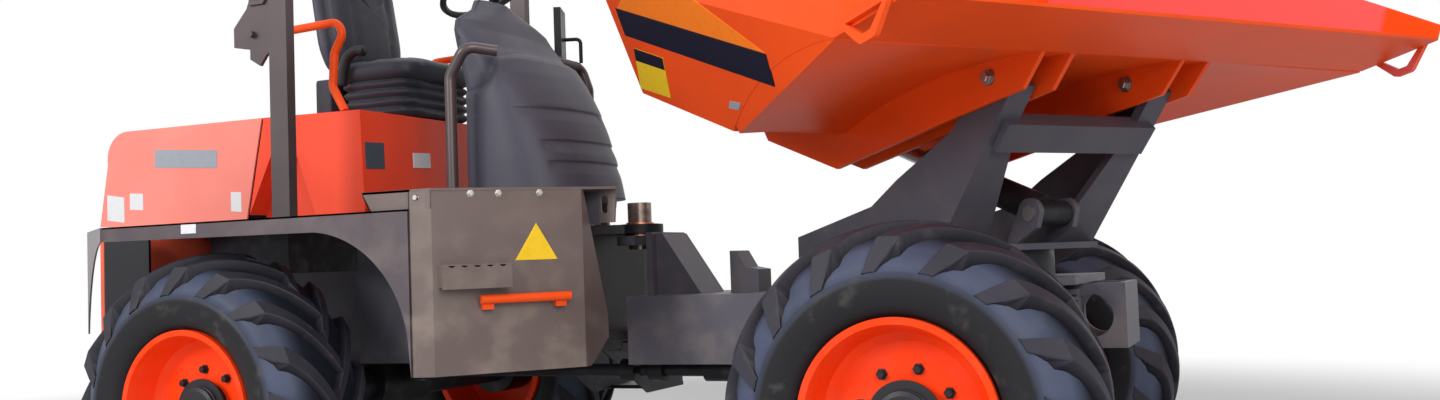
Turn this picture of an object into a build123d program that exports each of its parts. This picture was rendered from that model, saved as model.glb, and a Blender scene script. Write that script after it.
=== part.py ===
# Articulated site dumper with a skip that swivels and tips, about 6 t payload.
# X points forwards from the rear axle, Y to the machine's left, Z up from the ground, in millimetres.
# The skip stands as it was parked: swung to the right and part tipped.
import os
from math import cos, radians, sin

from build123d import *

os.makedirs("parts", exist_ok=True)

# Wheels and axles
wheelbase = 2510
half_track = 895
tyre_radius = 539
tyre_half_width = 200
crown_half_width = 172
rim_lip_radius = 279.5
rim_seat_radius = 262
rim_half_width = 180
rim_wall = 9
disc_offset = 62
hub_radius = 82
axle_tube_radius = 75
axle_notch = 240
hub_depth = 130
nose_reach = 210
fit_gap = 0.3

# Swivel and tip geometry
swivel_right = 36.8
tip_parked = 17.6
slew_x = 2459
pin_forward = 552
pin_height = 1492
pin_radius = 25

# Skip, measured with its floor level
skip_wall = 8
floor_height = pin_height - 312
side_foot = floor_height - 9
skip_rear = -858
slope_start = -145
slope_middle = (440, pin_height + 8)
floor_half_width = 774
shoulder_forward = 770
shoulder_height = pin_height + 110
shoulder_half_width = 1048
lip_forward = 1017
lip_height = pin_height + 247
lip_half_width = 1031
rim_band = 48
rear_top_height = pin_height + 588
rear_lean = 80
rib_outer = 342
rib_inner = 215
rib_plate = 15
rib_foot = floor_height - 130
rib_rear = -680
rib_knee = -165
rib_nose = (pin_forward + 148, pin_height - 8)
rib_tip = (pin_forward + 205, shoulder_height + 2)
loop_half = 8

# Turret
turret_half_width = 325
arm_plate = 25
arm_foot_inner = 135
arm_top_inner = 242
arm_head_radius = 42
arm_taper_top = pin_height - 122
flange_plate = 22
base_plate_top = 1003
base_plate = 20
slew_ring_radius = 290
slew_ring_top = base_plate_top - base_plate
chassis_top = 870
bed_plate = 25

# Tip cylinder
cylinder_base = (410, 1095)
cylinder_eye = (-300, floor_height - 76)
barrel_radius = 50
barrel_length = 590
rod_radius = 28
base_eye_radius = 38
base_eye_width = 124
rod_eye_radius = 34
rod_eye_width = 60
ear_plate = 20
lug_plate = 14
side_clearance = 3

# Articulation
steer_x = 1205
steer_pin_radius = 45
ear_top = 1134
ear_thickness = 34

# Front chassis
beam_half_width = 300
beam_bottom = 630
beam_rear = 1300
beam_front = 2800
nose_front = 2975
nose_half = 145
nose_bottom = 665
nose_plate = 20
nose_eye_radius = 68

# Rear chassis and bodywork
body_half_width = 500
wing_half_width = 1100
wing_top = 1180
wing_lip = 50
wing_sheet = 6
wing_rear = -333
wing_front = 975
chamfer_rear = (-674, 866)
wing_left_front = 460
box_half_width = 1080
box_front_corner = 1050
box_nose_x = 1370
box_nose_half = 712
box_bottom = 660
deck_top = 1242
deck_sheet = 8
deck_corner = (1450, 620)
deck_middle = 1110
deck_left_front = 775
deck_left_rear = 560
deck_left_half = 600
deck_legs = ((400, -250), (400, 250), (900, -250), (900, 250))
step_rear = 600
step_front = 880
frame_rear = -1045
frame_plate_bottom = 640
panel_front = -775
bonnet_top = 1605
bonnet_foot = 1188
bonnet_rear_foot = 1220
bonnet_rear = -1043
bonnet_sheet = 6
panel_gap = 10
bonnet_pivot = (-230, bonnet_top - 15)
bonnet_pin_radius = 5
bonnet_tab_at = 300
bonnet_tab = 8
split_top = -170
split_foot = -260
pedestal_front = 320

# Roll-over frame
post_x = 195
post_half_width = 780
post_depth = 80
post_thickness = 40
post_split = 2000
frame_height = 2960
fold_pivot = (95, post_split)
fold_pin_radius = 12
fold_plate = 14
cheek_plate = 10

# Seat, rails and small pieces
seat_half_width = 245
seat_rail_half = 475
steering_centre = (545, 0, 2125)
steering_radius = 190
wheel_tilt = radians(30)
column_radius = 20
console_top = 2050
cushion_foot = 1745
cushion_top = 1840
cushion_rear = -50
cushion_front = 330
seat_rail_radius = 16
grab_rail_radius = 21
shaft_height = 585
shaft_radius = 24
yoke_radius = 42
joint_half = 30
hitch_pin_radius = 16


def finish(builder, label):
    builder.part.label = label
    export_step(builder.part, f"parts/{label}.step")


# Frames that carry the swung turret and the tipped skip
swing = radians(-swivel_right)
tip = radians(tip_parked)
ahead = Vector(cos(swing), sin(swing), 0)
across = Vector(-sin(swing), cos(swing), 0)
skip_ahead = ahead * cos(tip) - Vector(0, 0, 1) * sin(tip)
skip_up = ahead * sin(tip) + Vector(0, 0, 1) * cos(tip)
slew_axis = Vector(slew_x, 0, 0)
pin_point = slew_axis + ahead * pin_forward + Vector(0, 0, pin_height)
skip_origin = pin_point - skip_ahead * pin_forward - skip_up * pin_height

turret_side = Plane(origin=slew_axis, x_dir=ahead, z_dir=-across)
turret_plan = Plane(origin=slew_axis, x_dir=ahead, z_dir=(0, 0, 1))
turret_cross = Plane(origin=slew_axis, x_dir=across, z_dir=ahead)
skip_side = Plane(origin=skip_origin, x_dir=skip_ahead, z_dir=-across)
skip_plan = Plane(origin=skip_origin, x_dir=skip_ahead, z_dir=skip_up)
skip_cross = Plane(origin=skip_origin, x_dir=across, z_dir=skip_ahead)


# Skip: open hopper of plate on four ribs
def skip_hollow(inset):
    """Solid hopper form: side view, cross view and plan meet in one body, each set in by the wall."""
    with BuildPart() as form:
        with BuildSketch(skip_side):
            with BuildLine():
                Polyline(
                    (slope_start, floor_height + inset),
                    (skip_rear + inset, floor_height + inset),
                    (skip_rear - rear_lean + inset, rear_top_height),
                    (lip_forward, lip_height + rim_band),
                    (lip_forward, lip_height + inset * 1.2),
                    (shoulder_forward - inset * 0.2, shoulder_height + inset * 1.1),
                )
                ThreePointArc(
                    (shoulder_forward - inset * 0.2, shoulder_height + inset * 1.1),
                    (slope_middle[0] - inset * 0.5, slope_middle[1] + inset * 0.9),
                    (slope_start, floor_height + inset),
                )
            make_face()
        extrude(amount=shoulder_half_width * 2, both=True)
        with BuildSketch(skip_cross):
            with BuildLine():
                Polyline(
                    (floor_half_width - inset, side_foot),
                    (shoulder_half_width - inset, shoulder_height),
                    (shoulder_half_width - inset, rear_top_height + 1),
                    (-shoulder_half_width + inset, rear_top_height + 1),
                    (-shoulder_half_width + inset, shoulder_height),
                    (-floor_half_width + inset, side_foot),
                    close=True,
                )
            make_face()
        extrude(amount=shoulder_half_width * 2, both=True, mode=Mode.INTERSECT)
        with BuildSketch(skip_plan):
            with BuildLine():
                Polyline(
                    (skip_rear - rear_lean - 1, 520 - inset),
                    (-760 + inset, shoulder_half_width - inset),
                    (shoulder_forward, shoulder_half_width - inset),
                    (lip_forward, lip_half_width - inset),
                    (lip_forward, -lip_half_width + inset),
                    (shoulder_forward, -shoulder_half_width + inset),
                    (-760 + inset, -shoulder_half_width + inset),
                    (skip_rear - rear_lean - 1, -520 + inset),
                    close=True,
                )
            make_face()
        extrude(amount=rear_top_height * 2, both=True, mode=Mode.INTERSECT)
    return form.part


with BuildPart() as skip:
    add(skip_hollow(0))
    add(skip_hollow(skip_wall), mode=Mode.SUBTRACT)
    for side in (-1, 1):
        for plane_at in (rib_outer - rib_plate / 2, rib_inner + rib_plate / 2):
            with BuildSketch(skip_side.offset(-side * plane_at)):
                with BuildLine():
                    Polyline(
                        (rib_rear, floor_height + 1),
                        (rib_rear, rib_foot + 30),
                        (rib_rear + 40, rib_foot),
                        (rib_knee, rib_foot),
                        rib_nose,
                        rib_tip,
                    )
                    ThreePointArc(rib_tip, (slope_middle[0], slope_middle[1] + 2), (slope_start, floor_height + 1))
                    Line((slope_start, floor_height + 1), (rib_rear, floor_height + 1))
                make_face()
                with Locations((pin_forward, pin_height)):
                    Circle(pin_radius + fit_gap, mode=Mode.SUBTRACT)
            extrude(amount=rib_plate / 2, both=True)
    for side in (-1, 1):
        with BuildSketch(skip_side.offset(side * (rod_eye_width / 2 + side_clearance + lug_plate / 2))):
            with BuildLine():
                Polyline(
                    (cylinder_eye[0] - 60, floor_height + 1),
                    (cylinder_eye[0] - 35, cylinder_eye[1] - 38),
                    (cylinder_eye[0] + 35, cylinder_eye[1] - 38),
                    (cylinder_eye[0] + 60, floor_height + 1),
                    close=True,
                )
            make_face()
        extrude(amount=lug_plate / 2, both=True)
finish(skip, "skip")


def turret_arm(side):
    """One open arm: a side plate, and a flange along its front edge that widens towards its foot."""
    clear_top = pin_height + 108
    head = [(pin_forward + arm_head_radius * cos(radians(turn)), pin_height + arm_head_radius * sin(radians(turn)))
            for turn in (172, 98, 25)]
    with BuildPart() as arm:
        with BuildSketch(turret_side.offset(-side * (turret_half_width + arm_foot_inner) / 2)):
            with BuildLine():
                Polyline(
                    (-560, base_plate_top), (-560, base_plate_top + 57), (-92, base_plate_top + 144),
                    (55, base_plate_top + 223), (340, pin_height - 140), head[0],
                )
                ThreePointArc(*head)
                Polyline(head[2], (pin_forward + 84, pin_height - 34), (260, base_plate_top), (-560, base_plate_top))
            make_face()
            with Locations((pin_forward, pin_height)):
                Circle(pin_radius + fit_gap, mode=Mode.SUBTRACT)
        extrude(amount=(turret_half_width - arm_foot_inner) / 2, both=True)
        inside = side * (turret_half_width - arm_plate)
        with BuildSketch(turret_side.offset(-inside)):
            Polygon((-600, base_plate_top), (-600, clear_top), (700, clear_top),
                    (pin_forward + 48 - flange_plate, pin_height - 53),
                    (260 - flange_plate * 1.31, base_plate_top), align=None)
        extrude(amount=side * turret_half_width, mode=Mode.SUBTRACT)
        with BuildSketch(turret_cross):
            Polygon((side * arm_foot_inner, base_plate_top), (side * arm_top_inner, arm_taper_top),
                    (side * arm_top_inner, clear_top), (side * turret_half_width, clear_top),
                    (side * turret_half_width, base_plate_top), align=None)
        extrude(amount=1000, both=True, mode=Mode.INTERSECT)
    return arm.part


# Turret: base plate, two arms that lean forwards, cross tube and the cylinder's ears
with BuildPart() as turret:
    with BuildSketch(turret_plan.offset(base_plate_top)):
        Polygon((-560, -turret_half_width), (-560, turret_half_width), (260, turret_half_width),
                (345, turret_half_width - 60), (345, -turret_half_width + 60), (260, -turret_half_width),
                align=None)
    extrude(amount=-base_plate)
    for side in (-1, 1):
        add(turret_arm(side))
    with BuildSketch(turret_side):
        with Locations(Location((pin_forward - 22, pin_height - 160), -41)):
            Rectangle(60, 100)
    extrude(amount=turret_half_width - arm_plate, both=True)
    for side in (-1, 1):
        with BuildSketch(turret_side.offset(side * (base_eye_width / 2 + side_clearance + ear_plate / 2))):
            with BuildLine():
                ear_x, ear_z = cylinder_base
                Polyline((300, base_plate_top), (ear_x - 48, ear_z + 15))
                ThreePointArc((ear_x - 48, ear_z + 15), (ear_x, ear_z + 48), (ear_x + 48, ear_z + 5))
                Polyline((ear_x + 48, ear_z + 5), (ear_x + 30, ear_z - 45), (345, base_plate_top),
                         (300, base_plate_top))
            make_face()
            with Locations(cylinder_base):
                Circle(pin_radius + fit_gap, mode=Mode.SUBTRACT)
        extrude(amount=ear_plate / 2, both=True)
finish(turret, "turret")

# Tip cylinder, whose barrel and rod lie along the line between its two eyes as parked
eye_point = skip_origin + skip_ahead * cylinder_eye[0] + skip_up * cylinder_eye[1]
base_point = slew_axis + ahead * cylinder_base[0] + Vector(0, 0, cylinder_base[1])
cylinder_way = (eye_point - base_point).normalized()
parked_length = (eye_point - base_point).length
rod_length = parked_length - 150
cylinder_plane = Plane(origin=base_point, x_dir=across, z_dir=cylinder_way)
base_cross = Plane(origin=base_point, x_dir=cylinder_way, z_dir=across)
eye_cross = Plane(origin=eye_point, x_dir=cylinder_way, z_dir=across)

with BuildPart() as tip_barrel:
    with BuildSketch(base_cross):
        Circle(base_eye_radius)
    extrude(amount=base_eye_width / 2, both=True)
    with BuildSketch(cylinder_plane.offset(base_eye_radius - 10)):
        Circle(barrel_radius)
    extrude(amount=barrel_length)
    with BuildSketch(cylinder_plane.offset(base_eye_radius + 12)):
        Circle(rod_radius + 0.5)
    extrude(amount=barrel_length, mode=Mode.SUBTRACT)
    with BuildSketch(base_cross):
        Circle(pin_radius + fit_gap)
    extrude(amount=base_eye_width, both=True, mode=Mode.SUBTRACT)
finish(tip_barrel, "tip_barrel")

with BuildPart() as tip_rod:
    with BuildSketch(cylinder_plane.offset(parked_length - rod_length)):
        Circle(rod_radius)
    extrude(amount=rod_length)
    with BuildSketch(eye_cross):
        Circle(rod_eye_radius)
    extrude(amount=rod_eye_width / 2, both=True)
finish(tip_rod, "tip_rod")

# Pins of the skip's ribs and of the cylinder's foot
with BuildPart() as turret_pins:
    for side in (-1, 1):
        with BuildSketch(skip_side.offset(-side * (rib_inner - 6))):
            with Locations((pin_forward, pin_height)):
                Circle(pin_radius)
        extrude(amount=-side * (rib_outer - rib_inner + 12))
    with BuildSketch(base_cross):
        Circle(pin_radius)
    extrude(amount=base_eye_width / 2 + side_clearance + ear_plate + 6, both=True)
finish(turret_pins, "turret_pins")

# Slew ring on the front chassis
with BuildPart() as slew_ring:
    with BuildSketch(Plane.XY.offset(chassis_top + bed_plate + fit_gap)):
        with Locations((slew_x, 0)):
            Circle(slew_ring_radius)
            Circle(slew_ring_radius - 90, mode=Mode.SUBTRACT)
    extrude(amount=slew_ring_top - chassis_top - bed_plate - 2 * fit_gap)
finish(slew_ring, "slew_ring")


def fork_ear(root_x, root_half, low):
    """One ear of the articulation, a tapered plate that reaches round the pin from its root."""
    reach = 1 if root_x < steer_x else -1
    cheek = steer_x - reach * 20
    with BuildPart() as ear:
        with BuildSketch(Plane.XY.offset(low)):
            with BuildLine():
                Polyline((cheek, 86), (root_x, root_half), (root_x, -root_half), (cheek, -86))
                ThreePointArc((cheek, -86), (steer_x + reach * 88, 0), (cheek, 86))
            make_face()
            with Locations((steer_x, 0)):
                Circle(steer_pin_radius + 0.5, mode=Mode.SUBTRACT)
        extrude(amount=ear_thickness)
    return ear.part


# Front chassis: box beam, gusseted articulation tower with two ears, and the rest under the skip
with BuildPart() as front_frame:
    with BuildSketch(Plane.XZ):
        Polygon((beam_rear, beam_bottom), (beam_front, beam_bottom), (beam_front, chassis_top),
                (beam_rear, chassis_top), align=None)
    extrude(amount=beam_half_width, both=True)
    with BuildSketch(Plane.XZ):
        Polygon((beam_rear, chassis_top), (beam_rear, 1100), (beam_rear + 25, 1100), (beam_rear + 25, chassis_top),
                align=None)
    extrude(amount=137, both=True)
    for side in (-1, 1):
        with BuildSketch(Plane.XZ.offset(-side * 95)):
            Polygon((beam_rear, chassis_top), (beam_rear, 1095), (1350, 1095), (1500, chassis_top), align=None)
        extrude(amount=8, both=True)
    add(fork_ear(beam_rear + 10, 120, ear_top - 2 * ear_thickness - panel_gap))
    add(fork_ear(beam_rear + 10, 120, box_bottom))
    with BuildSketch(Plane.XZ.offset(-60)):
        Polygon((1600, chassis_top), (1600, 1020), (1625, 1020), (1660, 960), (1710, 950), (1710, chassis_top),
                align=None)
    extrude(amount=120)
    with BuildSketch(Plane.XZ):
        with Locations((wheelbase, tyre_radius)):
            Rectangle(axle_notch, axle_notch)
    extrude(amount=beam_half_width + 1, both=True, mode=Mode.SUBTRACT)
    with BuildSketch(Plane.XY.offset(chassis_top)):
        with Locations((slew_x + 40, 0)):
            Rectangle(740, 2 * beam_half_width + 30)
    extrude(amount=bed_plate)
    for side in (-1, 1):
        with BuildSketch(Plane.XZ.offset(-side * nose_half)):
            Polygon((beam_front - 1, nose_bottom), (nose_front, nose_bottom), (nose_front, chassis_top),
                    (beam_front - 1, chassis_top), align=None)
            with Locations(((beam_front + nose_front) / 2, (nose_bottom + chassis_top) / 2)):
                Circle(nose_eye_radius, mode=Mode.SUBTRACT)
        extrude(amount=nose_plate / 2, both=True)
    with BuildSketch(Plane.YZ.offset(nose_front)):
        with Locations((0, (nose_bottom + chassis_top) / 2)):
            Rectangle(2 * nose_half + nose_plate, chassis_top - nose_bottom)
    extrude(amount=nose_plate)
    with BuildSketch(Plane.YZ.offset(beam_front)):
        with Locations((-nose_half - 65, 790)):
            Rectangle(70, 130)
        with Locations(*[(-nose_half - 95, 745 + 18 * step) for step in range(6)]):
            Rectangle(24, 7, mode=Mode.SUBTRACT)
    extrude(amount=60)
finish(front_frame, "front_frame")


def axle(x_at, nose_way, pad_top, label):
    """Axle tube between the wheels, its centre housing, the shaft's nose and pads up to the chassis."""
    with BuildPart() as housing:
        with BuildSketch(Plane.XZ):
            with Locations((x_at, tyre_radius)):
                Circle(axle_tube_radius)
        extrude(amount=half_track - hub_depth - fit_gap, both=True)
        for side in (-1, 1):
            with BuildSketch(Plane.XY.offset(tyre_radius)):
                with Locations((x_at, side * 250)):
                    Rectangle(120, 80)
            extrude(amount=pad_top - tyre_radius)
        with BuildSketch(Plane.XZ):
            with Locations((x_at, tyre_radius)):
                Circle(112)
        extrude(amount=150, both=True)
        with BuildSketch(Plane.YZ.offset(x_at)):
            with Locations((0, shaft_height)):
                Circle(yoke_radius)
        extrude(amount=nose_way * nose_reach)
    finish(housing, label)


axle(0, 1, frame_plate_bottom - fit_gap, "rear_axle")
axle(wheelbase, -1, tyre_radius + axle_notch / 2 - fit_gap, "front_axle")

# Propeller shafts, whose joint lies on the articulation pin's line
with BuildPart() as rear_shaft:
    with BuildSketch(Plane.YZ.offset(nose_reach + fit_gap)):
        with Locations((0, shaft_height)):
            Circle(shaft_radius)
    extrude(amount=steer_x - joint_half - nose_reach - fit_gap)
    with BuildSketch(Plane.YZ.offset(steer_x - joint_half - 60)):
        with Locations((0, shaft_height)):
            Circle(yoke_radius)
    extrude(amount=60)
    with BuildSketch(Plane.YZ.offset(steer_x - joint_half)):
        with Locations((0, shaft_height)):
            Circle(14)
    extrude(amount=joint_half)
    with Locations((steer_x, 0, shaft_height)):
        Sphere(joint_half - 4)
finish(rear_shaft, "rear_shaft")

with BuildPart() as front_shaft:
    for start, length, radius in (
        (steer_x + joint_half, 60, yoke_radius),
        (steer_x + joint_half + 60, wheelbase - nose_reach - steer_x - joint_half - 60 - fit_gap, shaft_radius),
        (steer_x + 260, 150, yoke_radius),
        (steer_x + 470, 110, yoke_radius),
    ):
        with BuildSketch(Plane.YZ.offset(start)):
            with Locations((0, shaft_height)):
                Circle(radius)
        extrude(amount=length)
finish(front_shaft, "front_shaft")


# Wheels
def wheel(x_at, side, corner):
    centre = Vector(x_at, side * half_track, tyre_radius)
    section = Plane(origin=centre, x_dir=(0, side, 0), z_dir=(-1, 0, 0) if side > 0 else (1, 0, 0))
    spin = Axis(centre, (0, 1, 0))
    half = tyre_half_width
    with BuildPart() as tyre:
        with BuildSketch(section):
            with BuildLine():
                Polyline((-150, rim_seat_radius + fit_gap), (150, rim_seat_radius + fit_gap),
                         (150, rim_lip_radius + 5), (half - 12, rim_lip_radius + 30))
                ThreePointArc((half - 12, rim_lip_radius + 30), (half, 385), (half - 4, 460))
                Polyline((half - 4, 460), (crown_half_width, tyre_radius - 12), (120, tyre_radius),
                         (-120, tyre_radius), (-crown_half_width, tyre_radius - 12), (-half + 4, 460))
                ThreePointArc((-half + 4, 460), (-half, 385), (-half + 12, rim_lip_radius + 30))
                Polyline((-half + 12, rim_lip_radius + 30), (-150, rim_lip_radius + 5),
                         (-150, rim_seat_radius + fit_gap))
            make_face()
        revolve(axis=spin, revolution_arc=360)
    finish(tyre, f"tyre_{corner}")
    lip = rim_half_width
    with BuildPart() as rim:
        with BuildSketch(section):
            with BuildLine():
                Polyline(
                    (-lip, rim_lip_radius), (-lip, rim_seat_radius - rim_wall), (30, rim_seat_radius - rim_wall),
                    (disc_offset - 14, 215), (disc_offset - 14, 90), (disc_offset, 90), (disc_offset, 210),
                    (disc_offset + 20, 235), (lip - 30, rim_seat_radius - 12), (lip, rim_seat_radius - 2),
                    (lip, rim_lip_radius), (lip - 28, rim_lip_radius), (lip - 28, rim_seat_radius),
                    (-lip + 28, rim_seat_radius), (-lip + 28, rim_lip_radius), close=True,
                )
            make_face()
        revolve(axis=spin, revolution_arc=360)
    finish(rim, f"rim_{corner}")
    with BuildPart() as hub:
        with BuildSketch(section):
            with BuildLine():
                Polyline((-hub_depth, 0), (-hub_depth, 125), (disc_offset - 14.3, 125), (disc_offset - 14.3, hub_radius),
                         (disc_offset + 42, hub_radius), (disc_offset + 50, hub_radius - 12),
                         (disc_offset + 50, 0), close=True)
            make_face()
        revolve(axis=spin, revolution_arc=360)
    finish(hub, f"hub_{corner}")


wheel(0, -1, "rear_right")
wheel(0, 1, "rear_left")
wheel(wheelbase, -1, "front_right")
wheel(wheelbase, 1, "front_left")

# Rear chassis: two frame plates, cross plates and the fork for the articulation pin
with BuildPart() as rear_frame:
    for side in (-1, 1):
        with BuildSketch(Plane.XZ.offset(-side * 250)):
            Polygon((frame_rear, frame_plate_bottom), (frame_rear, 779), (-760, 779), (-760, 1000), (1060, 1000),
                    (1060, frame_plate_bottom), align=None)
        extrude(amount=12, both=True)
    with BuildSketch(Plane.YZ.offset(frame_rear)):
        with Locations((0, 690)):
            Rectangle(524, 178)
    extrude(amount=24)
    with BuildSketch(Plane.YZ.offset(1048)):
        with Locations((0, 890)):
            Rectangle(800, 460)
    extrude(amount=12)
    add(fork_ear(1060, 170, ear_top - ear_thickness))
    add(fork_ear(1060, 170, box_bottom + ear_thickness + panel_gap))
finish(rear_frame, "rear_frame")

with BuildPart() as steer_pin:
    for low, high in ((ear_top - 94, 1216), (box_bottom - 20, box_bottom + 110)):
        with BuildSketch(Plane.XY.offset(low)):
            with Locations((steer_x, 0)):
                Circle(steer_pin_radius)
        extrude(amount=high - low)
finish(steer_pin, "steer_pin")

with BuildPart() as tow_hitch:
    for low in (640, 716):
        with BuildSketch(Plane.XY.offset(low)):
            with BuildLine():
                Polyline((frame_rear - fit_gap, -70), (frame_rear - fit_gap, 70), (frame_rear - 60, 48))
                ThreePointArc((frame_rear - 60, 48), (frame_rear - 98, 0), (frame_rear - 60, -48))
                Line((frame_rear - 60, -48), (frame_rear - fit_gap, -70))
            make_face()
            with Locations((frame_rear - 50, 0)):
                Circle(hitch_pin_radius, mode=Mode.SUBTRACT)
        extrude(amount=16)
    with BuildSketch(Plane.YZ.offset(frame_rear - fit_gap)):
        with Locations((0, 686)):
            Rectangle(140, 92)
    extrude(amount=-12)
finish(tow_hitch, "tow_hitch")


def wing(side, label, front_points):
    """Sheet wing over a rear wheel: skirt with its arch, top sheet and the chamfered rear corner."""
    outer = side * wing_half_width
    with BuildPart() as sheet:
        with BuildSketch(Plane.XZ.offset(-outer)):
            Polygon(*front_points, (450, wing_top - wing_lip), (wing_rear, wing_top - wing_lip),
                    (wing_rear, wing_top), align=None)
        extrude(amount=side * wing_sheet)
        top_front = front_points[0][0]
        with BuildSketch(Plane.XY.offset(wing_top - wing_sheet)):
            Polygon(
                (wing_rear, outer), (top_front, outer), (top_front, side * body_half_width),
                (chamfer_rear[0], side * body_half_width), (chamfer_rear[0], side * chamfer_rear[1]), align=None,
            )
        extrude(amount=wing_sheet)
        chamfer_way = Vector(chamfer_rear[0] - wing_rear, side * chamfer_rear[1] - outer, 0)
        skirt = Plane(origin=(wing_rear, outer, wing_top), x_dir=chamfer_way,
                      z_dir=chamfer_way.cross(Vector(0, 0, 1)))
        with BuildSketch(skirt):
            with BuildLine():
                Line((0, 0), (chamfer_way.length, 0))
                Line((chamfer_way.length, 0), (chamfer_way.length, -380))
                ThreePointArc((chamfer_way.length, -380), (chamfer_way.length * 0.62, -150), (0, -wing_lip))
                Line((0, -wing_lip), (0, 0))
            make_face()
        extrude(amount=-side * wing_sheet)
    finish(sheet, label)


wing(-1, "wing_right", ((wing_front, wing_top), (wing_front, box_bottom), (968, 740), (922, 925), (836, 1021),
                        (751, 1084), (604, 1122)))
wing(1, "wing_left", ((wing_left_front, wing_top), (wing_left_front, wing_top - wing_lip)))

# Box ahead of the right rear wheel, cut back so that the front tyre clears it in a turn, with its foothold
chamfer_start = Vector(box_front_corner, -box_half_width, 0)
chamfer_dir = Vector(box_nose_x - box_front_corner, box_half_width - box_nose_half, 0).normalized()
chamfer_out = chamfer_dir.cross(Vector(0, 0, 1))
chamfer_face = Plane(origin=chamfer_start, x_dir=chamfer_dir, z_dir=chamfer_out)

with BuildPart() as side_box:
    with BuildSketch(Plane.XY.offset(box_bottom)):
        Polygon((wing_front, -wing_half_width + wing_sheet), (box_front_corner, -box_half_width),
                (box_nose_x, -box_nose_half), (box_nose_x - 15, -box_nose_half + 12), (1100, -560),
                (wing_front, -560), align=None)
    extrude(amount=deck_top - deck_sheet - box_bottom)
    with BuildSketch(Plane.YZ.offset(box_nose_x - 15)):
        Polygon((-box_nose_half, box_bottom), (-box_nose_half, deck_top - deck_sheet), (-700, deck_top - deck_sheet),
                (-560, 820), (-560, 745), (-680, box_bottom), align=None)
    extrude(amount=15)
    with BuildSketch(chamfer_face):
        with Locations((126, 968)):
            Rectangle(218, 70)
        with Locations((126, 964)):
            Rectangle(206, 70, mode=Mode.SUBTRACT)
    extrude(amount=60)
    with BuildSketch(chamfer_face.offset(54)):
        with Locations((126, 965)):
            Rectangle(218, 76)
        with Locations(*[(126 + 40 * step, 1006) for step in range(-2, 3)]):
            Circle(13, mode=Mode.SUBTRACT)
    extrude(amount=6)
finish(side_box, "side_box")

with BuildPart() as lock_bar:
    with BuildSketch(Plane(origin=chamfer_face.from_local_coords((140, 892, 34)), z_dir=chamfer_dir)):
        Circle(14)
    extrude(amount=290)
    for clip_at in (165, 400):
        with BuildSketch(chamfer_face.offset(fit_gap)):
            with Locations((clip_at, 880)):
                Rectangle(34, 40)
        extrude(amount=30)
finish(lock_bar, "lock_bar")

# Two treads between plates, the way up on the left
with BuildPart() as access_step:
    for plate_x in (step_rear, step_front - 10):
        with BuildSketch(Plane.YZ.offset(plate_x)):
            Polygon((262 + fit_gap, 830), (262 + fit_gap, 640), (640, 430), (980, 430), (980, 470), (790, 500),
                    (760, 830), align=None)
        extrude(amount=10)
    for low, inner, outer in ((822, 560, 765), (430, 800, 985)):
        with BuildSketch(Plane.XY.offset(low)):
            with Locations(((step_rear + step_front) / 2, (inner + outer) / 2)):
                Rectangle(step_front - step_rear, outer - inner)
        extrude(amount=16)
finish(access_step, "access_step")

# Deck plate with the bracket under its right corner
with BuildPart() as deck:
    with BuildSketch(Plane.XY.offset(deck_top - deck_sheet)):
        Polygon(
            (deck_corner[0], -deck_corner[1]), (box_front_corner, -box_half_width - 5),
            (wing_front, -box_half_width - 5), (pedestal_front + panel_gap, -body_half_width),
            (pedestal_front + panel_gap, body_half_width), (deck_left_rear, deck_left_half),
            (deck_left_front, deck_left_half), (deck_middle, 0), align=None,
        )
    extrude(amount=deck_sheet)
    with BuildSketch(Plane.XZ.offset(600)):
        with BuildLine():
            Polyline((1376, deck_top - 4), (1376, 1125), (1432, 1125), (1440, deck_top - 4), (1376, deck_top - 4))
        make_face()
        with Locations((1396, 1186)):
            SlotOverall(60, 28, rotation=90, mode=Mode.SUBTRACT)
    extrude(amount=8)
    for foot_x, foot_y in deck_legs:
        with BuildSketch(Plane.XY.offset(1000 + fit_gap)):
            with Locations((foot_x, foot_y)):
                Rectangle(60, 20)
        extrude(amount=deck_top - deck_sheet - 1000)
finish(deck, "deck")


def bonnet_foot_at(x_at):
    """Height of the bonnet's lower edge, which rises towards the rear."""
    share = (split_foot - x_at) / (split_foot - bonnet_rear)
    return bonnet_foot + (bonnet_rear_foot - bonnet_foot) * share


with BuildPart() as rear_panel:
    with BuildSketch(Plane.XZ):
        Polygon((frame_rear, 779 + fit_gap), (frame_rear, bonnet_foot_at(frame_rear) - 3),
                (panel_front, bonnet_foot_at(panel_front) - 3), (panel_front, 779 + fit_gap), align=None)
    extrude(amount=body_half_width, both=True)
finish(rear_panel, "rear_panel")

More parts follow.
